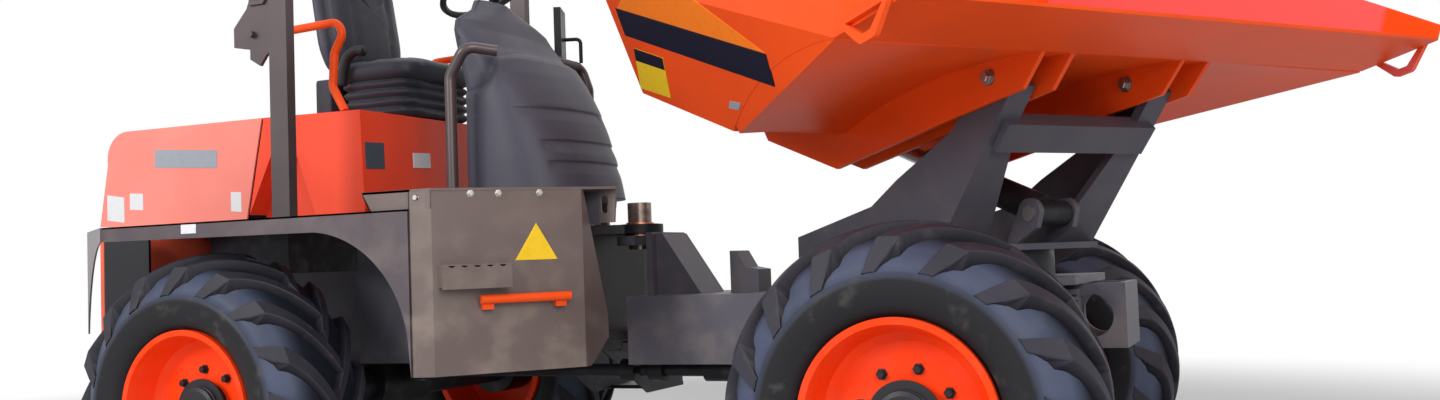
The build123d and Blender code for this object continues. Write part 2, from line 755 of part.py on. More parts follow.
# Bonnet, hollow, that hinges at its front top edge
with BuildPart() as bonnet:
    with BuildSketch(Plane.XZ):
        with BuildLine():
            Polyline((split_foot, bonnet_foot), (bonnet_rear, bonnet_rear_foot), (-995, bonnet_top - 131))
            ThreePointArc((-995, bonnet_top - 131), (-965, bonnet_top - 33), (-890, bonnet_top))
            Polyline((-890, bonnet_top), (split_top, bonnet_top), (split_foot, bonnet_foot))
        make_face()
    extrude(amount=body_half_width, both=True)
    with BuildSketch(Plane.XZ):
        with BuildLine():
            Polyline((split_foot + 20, bonnet_foot - 30), (bonnet_rear + bonnet_sheet, bonnet_foot - 30),
                     (bonnet_rear + bonnet_sheet, bonnet_rear_foot), (-995 + bonnet_sheet, bonnet_top - 135))
            ThreePointArc((-995 + bonnet_sheet, bonnet_top - 135), (-958, bonnet_top - 38),
                          (-890, bonnet_top - bonnet_sheet))
            Polyline((-890, bonnet_top - bonnet_sheet), (split_top + 20, bonnet_top - bonnet_sheet),
                     (split_foot + 20, bonnet_foot - 30))
        make_face()
    extrude(amount=body_half_width - bonnet_sheet, both=True, mode=Mode.SUBTRACT)
    for side in (-1, 1):
        with BuildSketch(Plane.XZ.offset(-side * bonnet_tab_at)):
            with Locations((bonnet_pivot[0], (bonnet_pivot[1] + bonnet_top) / 2 - 6)):
                Rectangle(26, bonnet_top - bonnet_pivot[1] + 8)
            with Locations(bonnet_pivot):
                Circle(bonnet_pin_radius + fit_gap, mode=Mode.SUBTRACT)
        extrude(amount=bonnet_tab / 2, both=True)
finish(bonnet, "bonnet")

with BuildPart() as engine_block:
    with BuildSketch(Plane.XY.offset(779)):
        with Locations((-500, 0)):
            Rectangle(420, 476)
    extrude(amount=640)
finish(engine_block, "engine_block")

# Seat pedestal, narrower at its foot than the bonnet beside it
with BuildPart() as seat_pedestal:
    with BuildSketch(Plane.XZ):
        Polygon((split_foot + panel_gap, wing_top + fit_gap), (split_top + panel_gap, bonnet_top),
                (pedestal_front - 15, bonnet_top - 5), (pedestal_front, wing_top + fit_gap), align=None)
    extrude(amount=body_half_width, both=True)
    for side in (-1, 1):
        with BuildSketch(Plane.XZ.offset(-side * body_half_width)):
            Polygon((split_foot, wing_top), (split_foot, 1190), (-120, 1470), (-20, 1500), (100, wing_top),
                    align=None)
        extrude(amount=side * 90, mode=Mode.SUBTRACT)
        arm_at = side * (bonnet_tab_at - bonnet_tab - 1)
        with BuildSketch(Plane.XZ.offset(-arm_at)):
            Polygon((-160, bonnet_top - 130), (-160, bonnet_top - 95), (-215, bonnet_top - 95),
                    (bonnet_pivot[0] + 8, bonnet_pivot[1]), (bonnet_pivot[0] - 8, bonnet_pivot[1]),
                    (-235, bonnet_top - 130), align=None)
            with Locations(bonnet_pivot):
                Circle(8)
        extrude(amount=bonnet_tab / 2, both=True)
        with BuildSketch(Plane.XZ.offset(-arm_at)):
            with Locations(bonnet_pivot):
                Circle(bonnet_pin_radius)
        extrude(amount=-side * (bonnet_tab * 2 + 6))
finish(seat_pedestal, "seat_pedestal")

with BuildPart() as seat_suspension:
    with BuildSketch(Plane.XY.offset(bonnet_top)):
        with Locations((120, 0)):
            Rectangle(360, 2 * seat_half_width - 30)
    extrude(amount=cushion_foot - bonnet_top - fit_gap)
    with BuildSketch(Plane.XY.offset(bonnet_top)):
        with Locations((-100, -130)):
            Rectangle(80, 200)
    extrude(amount=175)
finish(seat_suspension, "seat_suspension")

with BuildPart() as seat_cushion:
    with BuildSketch(Plane.XY.offset(cushion_foot)):
        with Locations(((cushion_rear + cushion_front) / 2, 0)):
            RectangleRounded(cushion_front - cushion_rear, 2 * seat_half_width, 60)
    extrude(amount=cushion_top - cushion_foot)
finish(seat_cushion, "seat_cushion")

with BuildPart() as seat_back:
    with BuildSketch(Plane.XZ):
        Polygon((-176, bonnet_top + 180), (cushion_rear - fit_gap, bonnet_top + 180),
                (cushion_rear - fit_gap, cushion_top + 260), (-80, cushion_top + 490),
                (-185, cushion_top + 490), align=None)
    extrude(amount=seat_half_width + 5, both=True)
finish(seat_back, "seat_back")


def tube(points, bend, radius):
    """Round tube along straight runs joined by tangent bends."""
    with BuildLine() as route:
        FilletPolyline(*points, radius=bend)
    with BuildPart() as run:
        with BuildSketch(Plane(origin=route.line @ 0, z_dir=route.line % 0)):
            Circle(radius)
        sweep(path=route.line)
    return run.part


# Orange rails beside the seat
with BuildPart() as seat_rails:
    for side in (-1, 1):
        at = side * seat_rail_half
        add(tube([(215, at, bonnet_top), (160, at, bonnet_top + 95), (172, at, bonnet_top + 225),
                  (245, at, bonnet_top + 343), (-95, at, bonnet_top + 330), (-100, at, bonnet_top)],
                 45, seat_rail_radius))
    split(bisect_by=Plane.XY.offset(bonnet_top + fit_gap), keep=Keep.TOP)
finish(seat_rails, "seat_rails")

# Grab rails at the console and the mirror on the left one
with BuildPart() as grab_rails:
    add(tube([(665, -430, deck_top + fit_gap), (665, -430, deck_top + 458), (735, -430, deck_top + 563),
              (820, -352, deck_top + 548)], 50, grab_rail_radius))
    add(tube([(725, 480, deck_top + fit_gap), (725, 480, deck_top + 498), (690, 480, deck_top + 598),
              (660, 300, deck_top + 608)], 45, grab_rail_radius))
    for foot in ((665, -430), (725, 480)):
        with BuildSketch(Plane.XY.offset(deck_top + fit_gap)):
            with Locations(foot):
                Circle(38)
        extrude(amount=10)
finish(grab_rails, "grab_rails")

with BuildPart() as mirror:
    glass_way = Vector(-0.4, 0.92, 0)
    with BuildSketch(Plane(origin=(620, 430, 1985), x_dir=glass_way, z_dir=(0, 0, 1))):
        Rectangle(150, 30)
    extrude(amount=105, both=True)
    add(tube([(622, 440, 1962), (700, 466, 1962), (700, 466, 1858)], 20, 8))
finish(mirror, "mirror")


def console_section(height, rear, shoulder, half, apex):
    """One level of the console: straight back and sides, bowed front."""
    with BuildSketch(Plane.XY.offset(height)) as level:
        with BuildLine():
            Polyline((shoulder, half), (rear, half), (rear, -half), (shoulder, -half))
            ThreePointArc((shoulder, -half), (apex, 0), (shoulder, half))
        make_face()
    return level.sketch


# Console, one moulded cover with a bowed front that leans back to the steering column
with BuildPart() as console:
    knee_top = deck_top + 448
    for level in ((deck_top, 645, 770, 330, 1052), (knee_top - 90, 645, 738, 322, 1000),
                  (knee_top, 612, 690, 300, 938)):
        add(console_section(*level))
    loft(ruled=True)
    for level in ((knee_top, 612, 690, 300, 938), (knee_top + 140, 580, 630, 250, 822),
                  (knee_top + 265, 545, 560, 200, 678), (console_top, 540, 552, 110, 625)):
        add(console_section(*level))
    loft(ruled=True)
finish(console, "console")

with BuildPart() as steering_wheel:
    wheel_centre = Vector(*steering_centre)
    wheel_plane = Plane(origin=wheel_centre, x_dir=(0, 1, 0), z_dir=(-sin(wheel_tilt), 0, cos(wheel_tilt)))
    column_drop = steering_centre[2] - console_top - column_radius * sin(wheel_tilt) - fit_gap
    column_length = column_drop / cos(wheel_tilt)
    with BuildSketch(Plane(origin=wheel_centre, x_dir=wheel_plane.x_dir, z_dir=wheel_plane.y_dir)):
        with Locations((steering_radius, 0)):
            RegularPolygon(14, 6)
    revolve(axis=Axis(wheel_centre, wheel_plane.z_dir), revolution_arc=360)
    with BuildSketch(wheel_plane):
        Rectangle(2 * steering_radius, 36)
        Rectangle(90, 70)
    extrude(amount=8, both=True)
    with BuildSketch(wheel_plane):
        Circle(column_radius)
    extrude(amount=-column_length)
finish(steering_wheel, "steering_wheel")


# Roll-over frame in two halves, hinged behind the posts so that the hoop folds rearwards
def post_centre(side):
    return (post_x, side * post_half_width)


post_back = post_x - post_depth / 2
with BuildPart() as rops_lower:
    for side in (-1, 1):
        with BuildSketch(Plane.XY.offset(wing_top + fit_gap)):
            with Locations(post_centre(side)):
                Rectangle(post_depth, post_thickness)
        extrude(amount=post_split - wing_top - fit_gap)
        with BuildSketch(Plane.XY.offset(wing_top + fit_gap)):
            with Locations(post_centre(side)):
                Rectangle(post_depth + 60, post_thickness + 60)
        extrude(amount=14)
        with BuildSketch(Plane.XZ.offset(-side * post_half_width)):
            Polygon((post_back + 1, post_split - 1), (post_back - 3, post_split - 1), (140, post_split + 25),
                    (75, post_split + 40), (40, post_split - 40), (-20, post_split - 105), (-20, post_split - 175),
                    (55, post_split - 189), (55, post_split - 225), (100, post_split - 252),
                    (130, post_split - 215), (post_back + 1, post_split - 200), align=None)
        extrude(amount=fold_plate / 2, both=True)
        with BuildSketch(Plane.XZ.offset(-side * post_half_width)):
            with Locations(fold_pivot, (73, post_split - 136)):
                Circle(fold_pin_radius)
        extrude(amount=post_thickness / 2 + 8, both=True)
finish(rops_lower, "rops_lower")

with BuildPart() as rops_upper:
    for side in (-1, 1):
        with BuildSketch(Plane.XY.offset(post_split + fit_gap)):
            with Locations(post_centre(side)):
                Rectangle(post_depth, post_thickness)
        extrude(amount=frame_height - post_split - fit_gap)
        for cheek in (-1, 1):
            cheek_at = side * post_half_width + cheek * (fold_plate / 2 + 0.5 + cheek_plate / 2)
            with BuildSketch(Plane.XZ.offset(-cheek_at)):
                Polygon((post_back + 1, post_split + 5), (post_back + 1, post_split + 150), (62, post_split + 60),
                        (62, post_split - 30), (125, post_split - 30), (post_back - 2, post_split + 5), align=None)
                with Locations(fold_pivot):
                    Circle(fold_pin_radius + 0.5, mode=Mode.SUBTRACT)
            extrude(amount=cheek_plate / 2, both=True)
    with BuildSketch(Plane.XZ):
        with Locations((post_x, frame_height - post_depth / 2)):
            Rectangle(post_depth, post_depth)
    extrude(amount=post_half_width + post_thickness / 2, both=True)
finish(rops_upper, "rops_upper")

# Loops to lash the raised front of the skip, one at each front corner
with BuildPart() as lashing_loops:
    for side in (-1, 1):
        corner = (skip_origin + skip_ahead * (shoulder_forward + 30) + skip_up * (shoulder_height + 18)
                  + across * (side * (shoulder_half_width - 2)))
        far = (skip_origin + skip_ahead * (lip_forward - 27) + skip_up * (lip_height - 14)
               + across * (side * (lip_half_width + 3)))
        loop_way = (far - corner).normalized()
        loop_plane = Plane(origin=corner, x_dir=loop_way, z_dir=loop_way.cross(Vector(0, 0, 1)))
        reach = (far - corner).length
        with BuildSketch(loop_plane.offset(-side * (loop_half + fit_gap))):
            with BuildLine():
                FilletPolyline((0, 20), (reach * 0.35, -62), (reach * 0.62, -62), (reach, 20), radius=22, close=False)
                Line((reach, 20), (0, 20))
            make_face()
            with BuildLine():
                Polyline((34, 8), (reach * 0.42, -40), (reach * 0.57, -40), (reach - 34, 8), close=True)
            make_face(mode=Mode.SUBTRACT)
        extrude(amount=loop_half, both=True)
finish(lashing_loops, "lashing_loops")
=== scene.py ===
import math
import bpy
import numpy as np
from mathutils import Matrix, Vector


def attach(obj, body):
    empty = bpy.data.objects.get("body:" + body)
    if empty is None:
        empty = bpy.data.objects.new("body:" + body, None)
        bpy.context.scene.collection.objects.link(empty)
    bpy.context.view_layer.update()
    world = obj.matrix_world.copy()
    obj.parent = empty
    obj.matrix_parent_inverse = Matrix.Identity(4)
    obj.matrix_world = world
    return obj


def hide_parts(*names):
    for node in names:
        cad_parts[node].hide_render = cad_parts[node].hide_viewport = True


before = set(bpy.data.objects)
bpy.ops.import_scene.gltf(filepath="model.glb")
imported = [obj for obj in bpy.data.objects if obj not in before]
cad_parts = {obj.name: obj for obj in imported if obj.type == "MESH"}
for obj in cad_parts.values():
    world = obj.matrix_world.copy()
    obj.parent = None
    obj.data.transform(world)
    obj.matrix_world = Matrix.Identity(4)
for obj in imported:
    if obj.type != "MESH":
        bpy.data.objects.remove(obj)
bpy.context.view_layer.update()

# Driving dimensions, in metres and degrees, as in the part's source
machine = {"wheelbase": 2.51, "halfTrack": 0.895, "axleHeight": 0.539, "slewRing": 2.459, "swivel": 36.8,
           "tip": 17.6, "skipPin": (0.552, 1.492)}


class Signal:
    # a node's output that adds its Math nodes when it is used in an expression
    def __init__(self, finish, socket):
        self.finish = finish
        self.socket = socket

    def work(self, operation, first, second):
        return self.finish.node("ShaderNodeMath", {"operation": operation}, {0: first, 1: second})

    def __add__(self, other):
        return self.work("ADD", self, other)

    def __radd__(self, other):
        return self.work("ADD", other, self)

    def __sub__(self, other):
        return self.work("SUBTRACT", self, other)

    def __rsub__(self, other):
        return self.work("SUBTRACT", other, self)

    def __mul__(self, other):
        return self.work("MULTIPLY", self, other)

    def __rmul__(self, other):
        return self.work("MULTIPLY", other, self)

    def above(self, level, width):
        # 0 below level, 1 above level + width, even in between
        return self.finish.node("ShaderNodeMapRange", {"interpolation_type": "SMOOTHSTEP"},
                                {0: self, 1: level, 2: level + width})


class Finish:
    # one material, its Principled shader and the pattern coordinates of the machine
    def __init__(self, name):
        self.material = bpy.data.materials.new(name)
        self.material.use_nodes = True
        self.tree = self.material.node_tree
        self.shader = self.tree.nodes["Principled BSDF"]
        self.place = self.node("ShaderNodeTexCoord", out="Object")

    def node(self, kind, settings=None, sockets=None, out=0):
        # one node of a kind: its own settings first, then its sockets by number or name
        made = self.tree.nodes.new(kind)
        for key, value in (settings or {}).items():
            setattr(made, key, value)
        for key, value in (sockets or {}).items():
            self.feed(made.inputs[key], value)
        return Signal(self, made.outputs[out])

    def feed(self, target, value):
        if isinstance(value, Signal):
            self.tree.links.new(value.socket, target)
        else:
            target.default_value = value

    def set(self, **values):
        # fixed values and links on the shader's own sockets, names written without spaces
        for key, value in values.items():
            words = "".join(" " + letter if letter.isupper() else letter for letter in key).strip()
            target = self.shader.inputs[words.replace("I O R", "IOR")]
            if isinstance(value, tuple) and len(value) == 3:
                value = (*value, 1)
            self.feed(target, value)

    def stretched(self, scale):
        return self.node("ShaderNodeMapping", sockets={"Vector": self.place, "Scale": scale})

    def noise(self, scale, detail=2.0, vector=None, roughness=0.5):
        return self.node("ShaderNodeTexNoise", sockets={
            "Vector": vector or self.place, "Scale": scale, "Detail": detail, "Roughness": roughness})

    def axis(self, letter):
        return self.node("ShaderNodeSeparateXYZ", sockets={0: self.place}, out=letter)

    def mark(self, name):
        # a value kept on the mesh's own points
        return self.node("ShaderNodeAttribute", {"attribute_name": name}, out="Fac")

    def blend(self, factor, first, second):
        # a mix of two colours, each of them fixed or a node's output
        first, second = (part if isinstance(part, Signal) else (*part, 1) for part in (first, second))
        return self.node("ShaderNodeMix", {"data_type": "RGBA"}, {0: factor, 6: first, 7: second}, out=2)

    def relief(self, height, strength, distance):
        # fine unevenness, its depth in metres, put on last: it returns the material
        self.set(Normal=self.node("ShaderNodeBump", sockets={
            "Height": height, "Strength": strength, "Distance": distance}))
        return self.material


def shade(colour, factor):
    return tuple(part * factor for part in colour)


def paintedSteel(name, colour, dustColour, rough=0.38, coat=0.06, metal=0.0, dust=0.25, wear=0.25,
                 faded=0.06, shine=0.3, secondMask=None, secondColour=(0.012, 0.011, 0.014)):
    # sprayed steel: cloudy colour, dust that gathers low down, fine scuffs and a slight orange peel,
    # with a second colour where the mask is 1: painted shadow on the box, painted shade at the articulation,
    # a painted reflection on the skip's left wall and near black on the tail's sides
    finish = Finish(name)
    cloud = finish.noise(2.2, 4)
    body = finish.blend(cloud.above(0.3, 0.4), shade(colour, 1 - faded), shade(colour, 1 + faded))
    low = 1 - finish.axis("Z").above(0.35, 1.1)
    film = (low * 0.8 + 0.12) * finish.noise(9, 6).above(0.42, 0.3) * dust
    scuff = finish.noise(30, 6, finish.stretched((1, 1, 6)), 0.7).above(0.66, 0.06) * wear
    if secondMask:
        body = finish.blend(secondMask(finish), body, secondColour)
    finish.set(BaseColor=finish.blend(film, finish.blend(scuff, body, shade(colour, 0.62)), dustColour),
               Roughness=rough + film * 0.5 + scuff * 0.2 + (cloud - 0.5) * 0.1,
               Metallic=metal, CoatWeight=coat, CoatRoughness=0.12, SpecularIORLevel=shine)
    return finish.relief(finish.noise(320, 2) + finish.noise(24, 3) * 2, 0.16, 0.0006)


def tyreRubber(name, crest, valleyShade, ringColour=(0.012, 0.012, 0.014)):
    # black rubber with a bloom of random tone, a painted bluish reflection on the raised rubber, painted
    # shade in the depth between the lugs and at their feet, mould grain and a plain black ring
    finish = Finish(name)
    bloom = finish.noise(5, 5).above(0.3, 0.4)
    dust = finish.noise(16, 6).above(0.56, 0.2) * finish.mark("crest") * 0.35
    bloomed = finish.blend(bloom, shade(crest, 0.82), shade(crest, 1.15))
    # painted shade: the valley colour darkens the tread between the lugs and each lug's foot
    body = finish.blend(finish.mark("crest"), valleyShade, bloomed)
    body = finish.blend(finish.mark("ring"), body, ringColour)
    finish.set(BaseColor=finish.blend(dust, body, (0.1, 0.09, 0.085)),
               Roughness=0.46 + dust * 0.3 + bloom * 0.1, SpecularIORLevel=0.18)
    return finish.relief(finish.noise(260, 3) + finish.noise(40, 2), 0.25, 0.0008)


def mouldedPlastic(name, colour, rough=0.48):
    # grained moulding with a faint scuff where hands and boots touch it
    finish = Finish(name)
    scuff = finish.noise(18, 6).above(0.58, 0.1) * 0.3
    body = finish.blend(finish.noise(3, 3), shade(colour, 0.9), shade(colour, 1.12))
    finish.set(BaseColor=finish.blend(scuff, body, shade(colour, 1.6)),
               Roughness=rough + scuff * 0.3, SpecularIORLevel=0.28)
    return finish.relief(finish.noise(420, 4), 0.3, 0.0007)


def castSteel(name, colour, rough=0.5, metal=0.4):
    # blackened castings and forgings: grainy skin, oily patches
    finish = Finish(name)
    oil = finish.noise(12, 5).above(0.5, 0.2)
    finish.set(BaseColor=finish.blend(oil, colour, shade(colour, 1.7)),
               Roughness=rough - oil * 0.14, Metallic=metal, SpecularIORLevel=0.3)
    return finish.relief(finish.noise(150, 4), 0.35, 0.001)


def brightSteel(name, colour, rough=0.22):
    # ground or plated steel with marks drawn along the machine
    finish = Finish(name)
    marks = finish.noise(60, 4, finish.stretched((1, 14, 14)))
    finish.set(BaseColor=finish.blend(marks, shade(colour, 0.85), colour),
               Roughness=rough + marks * 0.14, Metallic=1.0)
    return finish.relief(marks, 0.08, 0.0004)


def seatVinyl(name):
    # soft vinyl: fine pebbled grain, a sheen along the raised folds
    finish = Finish(name)
    grain = finish.node("ShaderNodeTexVoronoi", sockets={"Vector": finish.place, "Scale": 420.0})
    tone = finish.noise(6, 4)
    finish.set(BaseColor=finish.blend(tone, (0.017, 0.019, 0.027), (0.036, 0.038, 0.052)),
               Roughness=0.44 + tone * 0.12, SheenWeight=0.1, SpecularIORLevel=0.25)
    return finish.relief(grain + finish.noise(60, 4) * 2, 0.3, 0.0009)


# Where each mask of a second colour begins and its width, in metres, or squared for a half width
maskEdges = {"tailHalf": (0.2375, 0.002), "tailFace": (-1.03, 0.01), "wallInside": (1.036, 0.002),
             "wallOutside": (1.0435, 0.0005), "boxBehind": (0.977, 0.004), "jointHalf": (0.08, 0.03),
             "jointStart": (0.95, 0.06)}


def flanksBlack(finish):
    # the sides of the tail under the wings are made near black, its rear face stays orange
    across = finish.axis("Y")
    return (across * across).above(*maskEdges["tailHalf"]) * finish.axis("X").above(*maskEdges["tailFace"])


def paintedWallGlare(finish):
    # painted reflection: the inner face of the skip's left wall is made pale pink as sky glare on it, the
    # band just inside the skip's half width
    swivel = math.radians(machine["swivel"])
    side = (finish.axis("X") - machine["slewRing"]) * math.sin(swivel) + finish.axis("Y") * math.cos(swivel)
    return side.above(*maskEdges["wallInside"]) * (1 - side.above(*maskEdges["wallOutside"]))


def boxBackShade(finish):
    # painted shadow on the part of the box behind the wheel
    return 1 - finish.axis("X").above(*maskEdges["boxBehind"])


def jointShade(finish):
    # painted shade around the articulation, standing also for the dark hoses that hang there
    across = finish.axis("Y")
    outside = (across * across).above(*maskEdges["jointHalf"])
    return finish.axis("X").above(*maskEdges["jointStart"]) * (1 - outside)


dustTan = (0.42, 0.34, 0.27)
# every finish of the machine, by the name that its pieces use
finishes = {
    # the skip's second colour is a painted reflection: pale pink glare on the inner face of its left wall
    "skip": paintedSteel("skipOrange", (0.84, 0.078, 0.008), dustTan, coat=0.03, dust=0.05, wear=0.35,
                         shine=0.14, secondMask=paintedWallGlare, secondColour=(0.76, 0.12, 0.11)),
    # partly painted reflection: the bonnet's orange and its dust colour are made pink, as the pale glare on
    # its side
    "bonnet": paintedSteel("bonnetOrange", (0.84, 0.225, 0.18), (0.88, 0.42, 0.37), coat=0.1, dust=0.35),
    "pedestal": paintedSteel("pedestalOrange", (0.84, 0.062, 0.02), (0.8, 0.3, 0.2), dust=0.2),
    "tail": paintedSteel("tailOrange", (0.78, 0.12, 0.06), (0.05, 0.045, 0.045), dust=0.1,
                         secondMask=flanksBlack),
    # the rear frame's second colour is painted shade at the articulation, standing also for dark hoses
    "rearFrame": paintedSteel("rearFramePaint", (0.07, 0.072, 0.09), dustTan, rough=0.45, coat=0.0, dust=0.1,
                              shine=0.2, secondMask=jointShade),
    "rim": paintedSteel("rimOrange", (0.9, 0.05, 0.005), dustTan, coat=0.0, dust=0.05, shine=0.12),
    "wing": paintedSteel("wingPaint", (0.088, 0.07, 0.08), dustTan, rough=0.34, coat=0.1, metal=0.2,
                         dust=0.3),
    # the box's second colour is painted shadow behind the wheel
    "box": paintedSteel("boxPaint", (0.14, 0.108, 0.1), dustTan, coat=0.05, metal=0.3, dust=0.35, shine=0.25,
                        secondMask=boxBackShade),
    "grey": paintedSteel("graphitePaint", (0.14, 0.11, 0.104), dustTan, rough=0.4, coat=0.0, metal=0.3,
                         dust=0.35, shine=0.2),
    "frame": paintedSteel("framePaint", (0.088, 0.084, 0.105), dustTan, rough=0.42, coat=0.0, metal=0.25,
                          dust=0.2, shine=0.2),
    "satin": paintedSteel("satinGrey", (0.088, 0.07, 0.074), dustTan, rough=0.36, metal=0.4, dust=0.1,
                          shine=0.25),
    "cast": castSteel("blackCasting", (0.018, 0.018, 0.022)),
    "pin": castSteel("pinSteel", (0.2, 0.155, 0.13), 0.32, 0.7),
    "bright": brightSteel("platedRod", (0.62, 0.62, 0.63)),
    "zinc": brightSteel("zincBolt", (0.45, 0.43, 0.4), 0.34),
    "copper": brightSteel("bronzeCollar", (0.62, 0.3, 0.17), 0.3),
    # tyres: the blue of the raised rubber is a painted reflection, the second colour the painted shade
    # between and under the lugs
    "rubber": tyreRubber("tyreRubber", (0.03, 0.034, 0.052), (0.012, 0.013, 0.018)),
    "lug": tyreRubber("tyreLug", (0.03, 0.028, 0.038), (0.005, 0.005, 0.008)),
    "wall": tyreRubber("tyreWall", (0.06, 0.072, 0.118), (0.012, 0.014, 0.023)),
    "plastic": mouldedPlastic("consolePlastic", (0.052, 0.051, 0.072)),
    "black": mouldedPlastic("blackPlastic", (0.014, 0.014, 0.017), 0.42),
    "vinyl": seatVinyl("seatVinyl"),
}

# The CAD nodes that wear each finish
nodeFinish = {
    "skip": ("skip", "lashing_loops", "lock_bar", "seat_rails"),
    "bonnet": ("bonnet",),
    "tail": ("rear_panel",),
    "rearFrame": ("rear_frame",),
    "pedestal": ("seat_pedestal",),
    "wing": ("wing_right", "wing_left"),
    "box": ("side_box",),
    "grey": ("deck",),
    "frame": ("front_frame", "turret"),
    "satin": ("rops_lower", "rops_upper", "grab_rails"),
    "cast": ("engine_block", "rear_axle", "front_axle", "rear_shaft", "front_shaft", "tip_barrel",
             "slew_ring", "tow_hitch", "access_step"),
    "pin": ("steer_pin",),
    "bright": ("tip_rod",),
    "zinc": ("turret_pins",),
    "black": ("seat_suspension", "steering_wheel", "mirror"),
    "plastic": ("console",),
    "vinyl": ("seat_cushion", "seat_back"),
}
wheelFinish = {"rim": "rim", "hub": "cast", "tyre": "rubber"}
# each wheel's distance ahead of the rear axle and its side
corners = {"rear_right": (0.0, -1), "rear_left": (0.0, 1),
           "front_right": (machine["wheelbase"], -1), "front_left": (machine["wheelbase"], 1)}


def dress(node, key):
    # gives a CAD node one finish in place of its own
    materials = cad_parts[node].data.materials
    materials.clear()
    materials.append(finishes[key])


for key, nodes in nodeFinish.items():
    for node in nodes:
        dress(node, key)
for corner in corners:
    for part, key in wheelFinish.items():
        dress(f"{part}_{corner}", key)
print("finishes made")


def gridFaces(rows, columns, roundRows=False):
    # four corner numbers for each cell of a grid of points: every row is a ring, and the rows may form one
    row = np.arange(rows if roundRows else rows - 1)[:, None]
    column = np.arange(columns)[None, :]
    nextRow, nextColumn = (row + 1) % rows, (column + 1) % columns
    cells = [row * columns + column, nextRow * columns + column,
             nextRow * columns + nextColumn, row * columns + nextColumn]
    return np.stack([cell + 0 * (row + column) for cell in cells], -1).reshape(-1, 4)


def repeated(faces, size, count):
    # the same faces for each of count shapes that have size points each
    return (faces[None] + size * np.arange(count)[:, None, None]).reshape(-1, 4)


def joined(*shapes):
    # several (points, faces) shapes as one
    starts = np.cumsum([0] + [len(points) for points, _ in shapes])
    return (np.concatenate([points for points, _ in shapes]),
            np.concatenate([faces + start for (_, faces), start in zip(shapes, starts)]))


def ringShape(rings, roundRows=False):
    # rings of equal point counts, one after another, and the faces between them
    return rings.reshape(-1, 3), gridFaces(*rings.shape[:2], roundRows)


def closedRings(rings):
    # the same with a flat cap at each end
    foot, cap = (rings[end].mean(0) + 0 * rings[:1] for end in (0, -1))
    return ringShape(np.concatenate([foot, rings, cap]))


def fullTurn(count, start=0.0):
    # even angles once round
    return np.linspace(start, start + 2 * np.pi, count, endpoint=False)


# the machine's directions: forwards, to the left and up
axisX, axisY, axisZ = np.eye(3)


def unit(vectors):
    # the vectors' directions, each of length one
    return vectors / np.linalg.norm(vectors, axis=-1, keepdims=True)


def turned(first, second, angle):
    # two directions at right angles turned in their plane, the first one towards the second
    sine, cosine = math.sin(angle), math.cos(angle)
    return first * cosine + second * sine, second * cosine - first * sine


def signedPower(value, exponent):
    # a power that keeps the value's sign: under 1 it squares a circle off
    return np.sign(value) * np.abs(value) ** exponent


def onWheel(x, side, across, radius, turn):
    # points round a wheel's axle, from distance across, radius and angle
    y = side * machine["halfTrack"] + across + 0 * turn
    return np.stack([x + radius * np.cos(turn), y, machine["axleHeight"] + radius * np.sin(turn)], -1)


def inScene(name, data):
    # an object with its data, linked to the scene
    made = bpy.data.objects.new(name, data)
    bpy.context.scene.collection.objects.link(made)
    return made


def addPiece(name, shape, finish, body, replaces=(), smooth=False, marks=None):
    # a mesh hung on its body; a negative volume, summed over the faces, shows that they point inwards
    points, faces = shape
    first, second, third, fourth = (points[faces[:, column]] for column in range(4))
    volume = np.sum(first * (np.cross(second, third) + np.cross(third, fourth)))
    if volume < 0:
        faces = faces[:, ::-1]
    mesh = bpy.data.meshes.new(name)
    mesh.from_pydata(points.tolist(), [], faces.tolist())
    mesh.polygons.foreach_set("use_smooth", np.full(len(mesh.polygons), bool(smooth)))
    for mark, values in (marks or {}).items():
        attribute = mesh.attributes.new(mark, "FLOAT", "POINT")
        attribute.data.foreach_set("value", np.asarray(values, np.float32))
    mesh.validate()
    mesh.materials.append(finishes[finish])
    piece = inScene(name, mesh)
    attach(piece, body)
    if replaces:
        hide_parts(*replaces)
    return piece


# Camera at the photograph's place: angles in radians, focal length and middle in its pixels
cameraSettings = {"place": (3.5312, -4.4003, 0.9794), "yaw": 0.4074, "pitch": 0.0488, "roll": 0.0374,
                  "focal": 1306.99, "middle": (742.32, 197.67), "width": 1440, "height": 400, "sensor": 36}


def makeCamera(s):
    # yaw turns the view to the rear, pitch lifts it, and roll turns right and upward about the view
    level, away = turned(axisX, axisY, s["yaw"])
    ahead, upright = turned(away, axisZ, s["pitch"])
    upward, right = turned(upright, level, s["roll"])
    data = bpy.data.cameras.new("camera")
    data.sensor_width = s["sensor"]
    data.lens = s["sensor"] * s["focal"] / s["width"]
    data.shift_x = (s["width"] / 2 - s["middle"][0]) / s["width"]
    data.shift_y = (s["middle"][1] - s["height"] / 2) / s["width"]
    camera = inScene("camera", data)
    turn = np.eye(4)
    turn[:3] = np.stack([right, upward, -ahead, s["place"]], -1)
    camera.matrix_world = Matrix(turn.tolist())
    bpy.context.scene.camera = camera


makeCamera(cameraSettings)

# Soft lamps (place, size, power), a white world that lights more weakly than it looks, and a pale floor
studioSettings = {
    "lamps": {"key": ((-3.0, -9.8, 5.2), 4.0, 680), "fill": ((7.5, -8.0, 4.6), 4.0, 460),
              "top": ((1.0, 0.5, 8.0), 6.0, 170)},
    "aim": (1.3, 0.0, 1.0), "worldLight": 0.42, "worldSeen": 1.0,
    "floorSize": 90.0, "floorShade": 0.74, "floorFade": (5.0, 3.5),
}


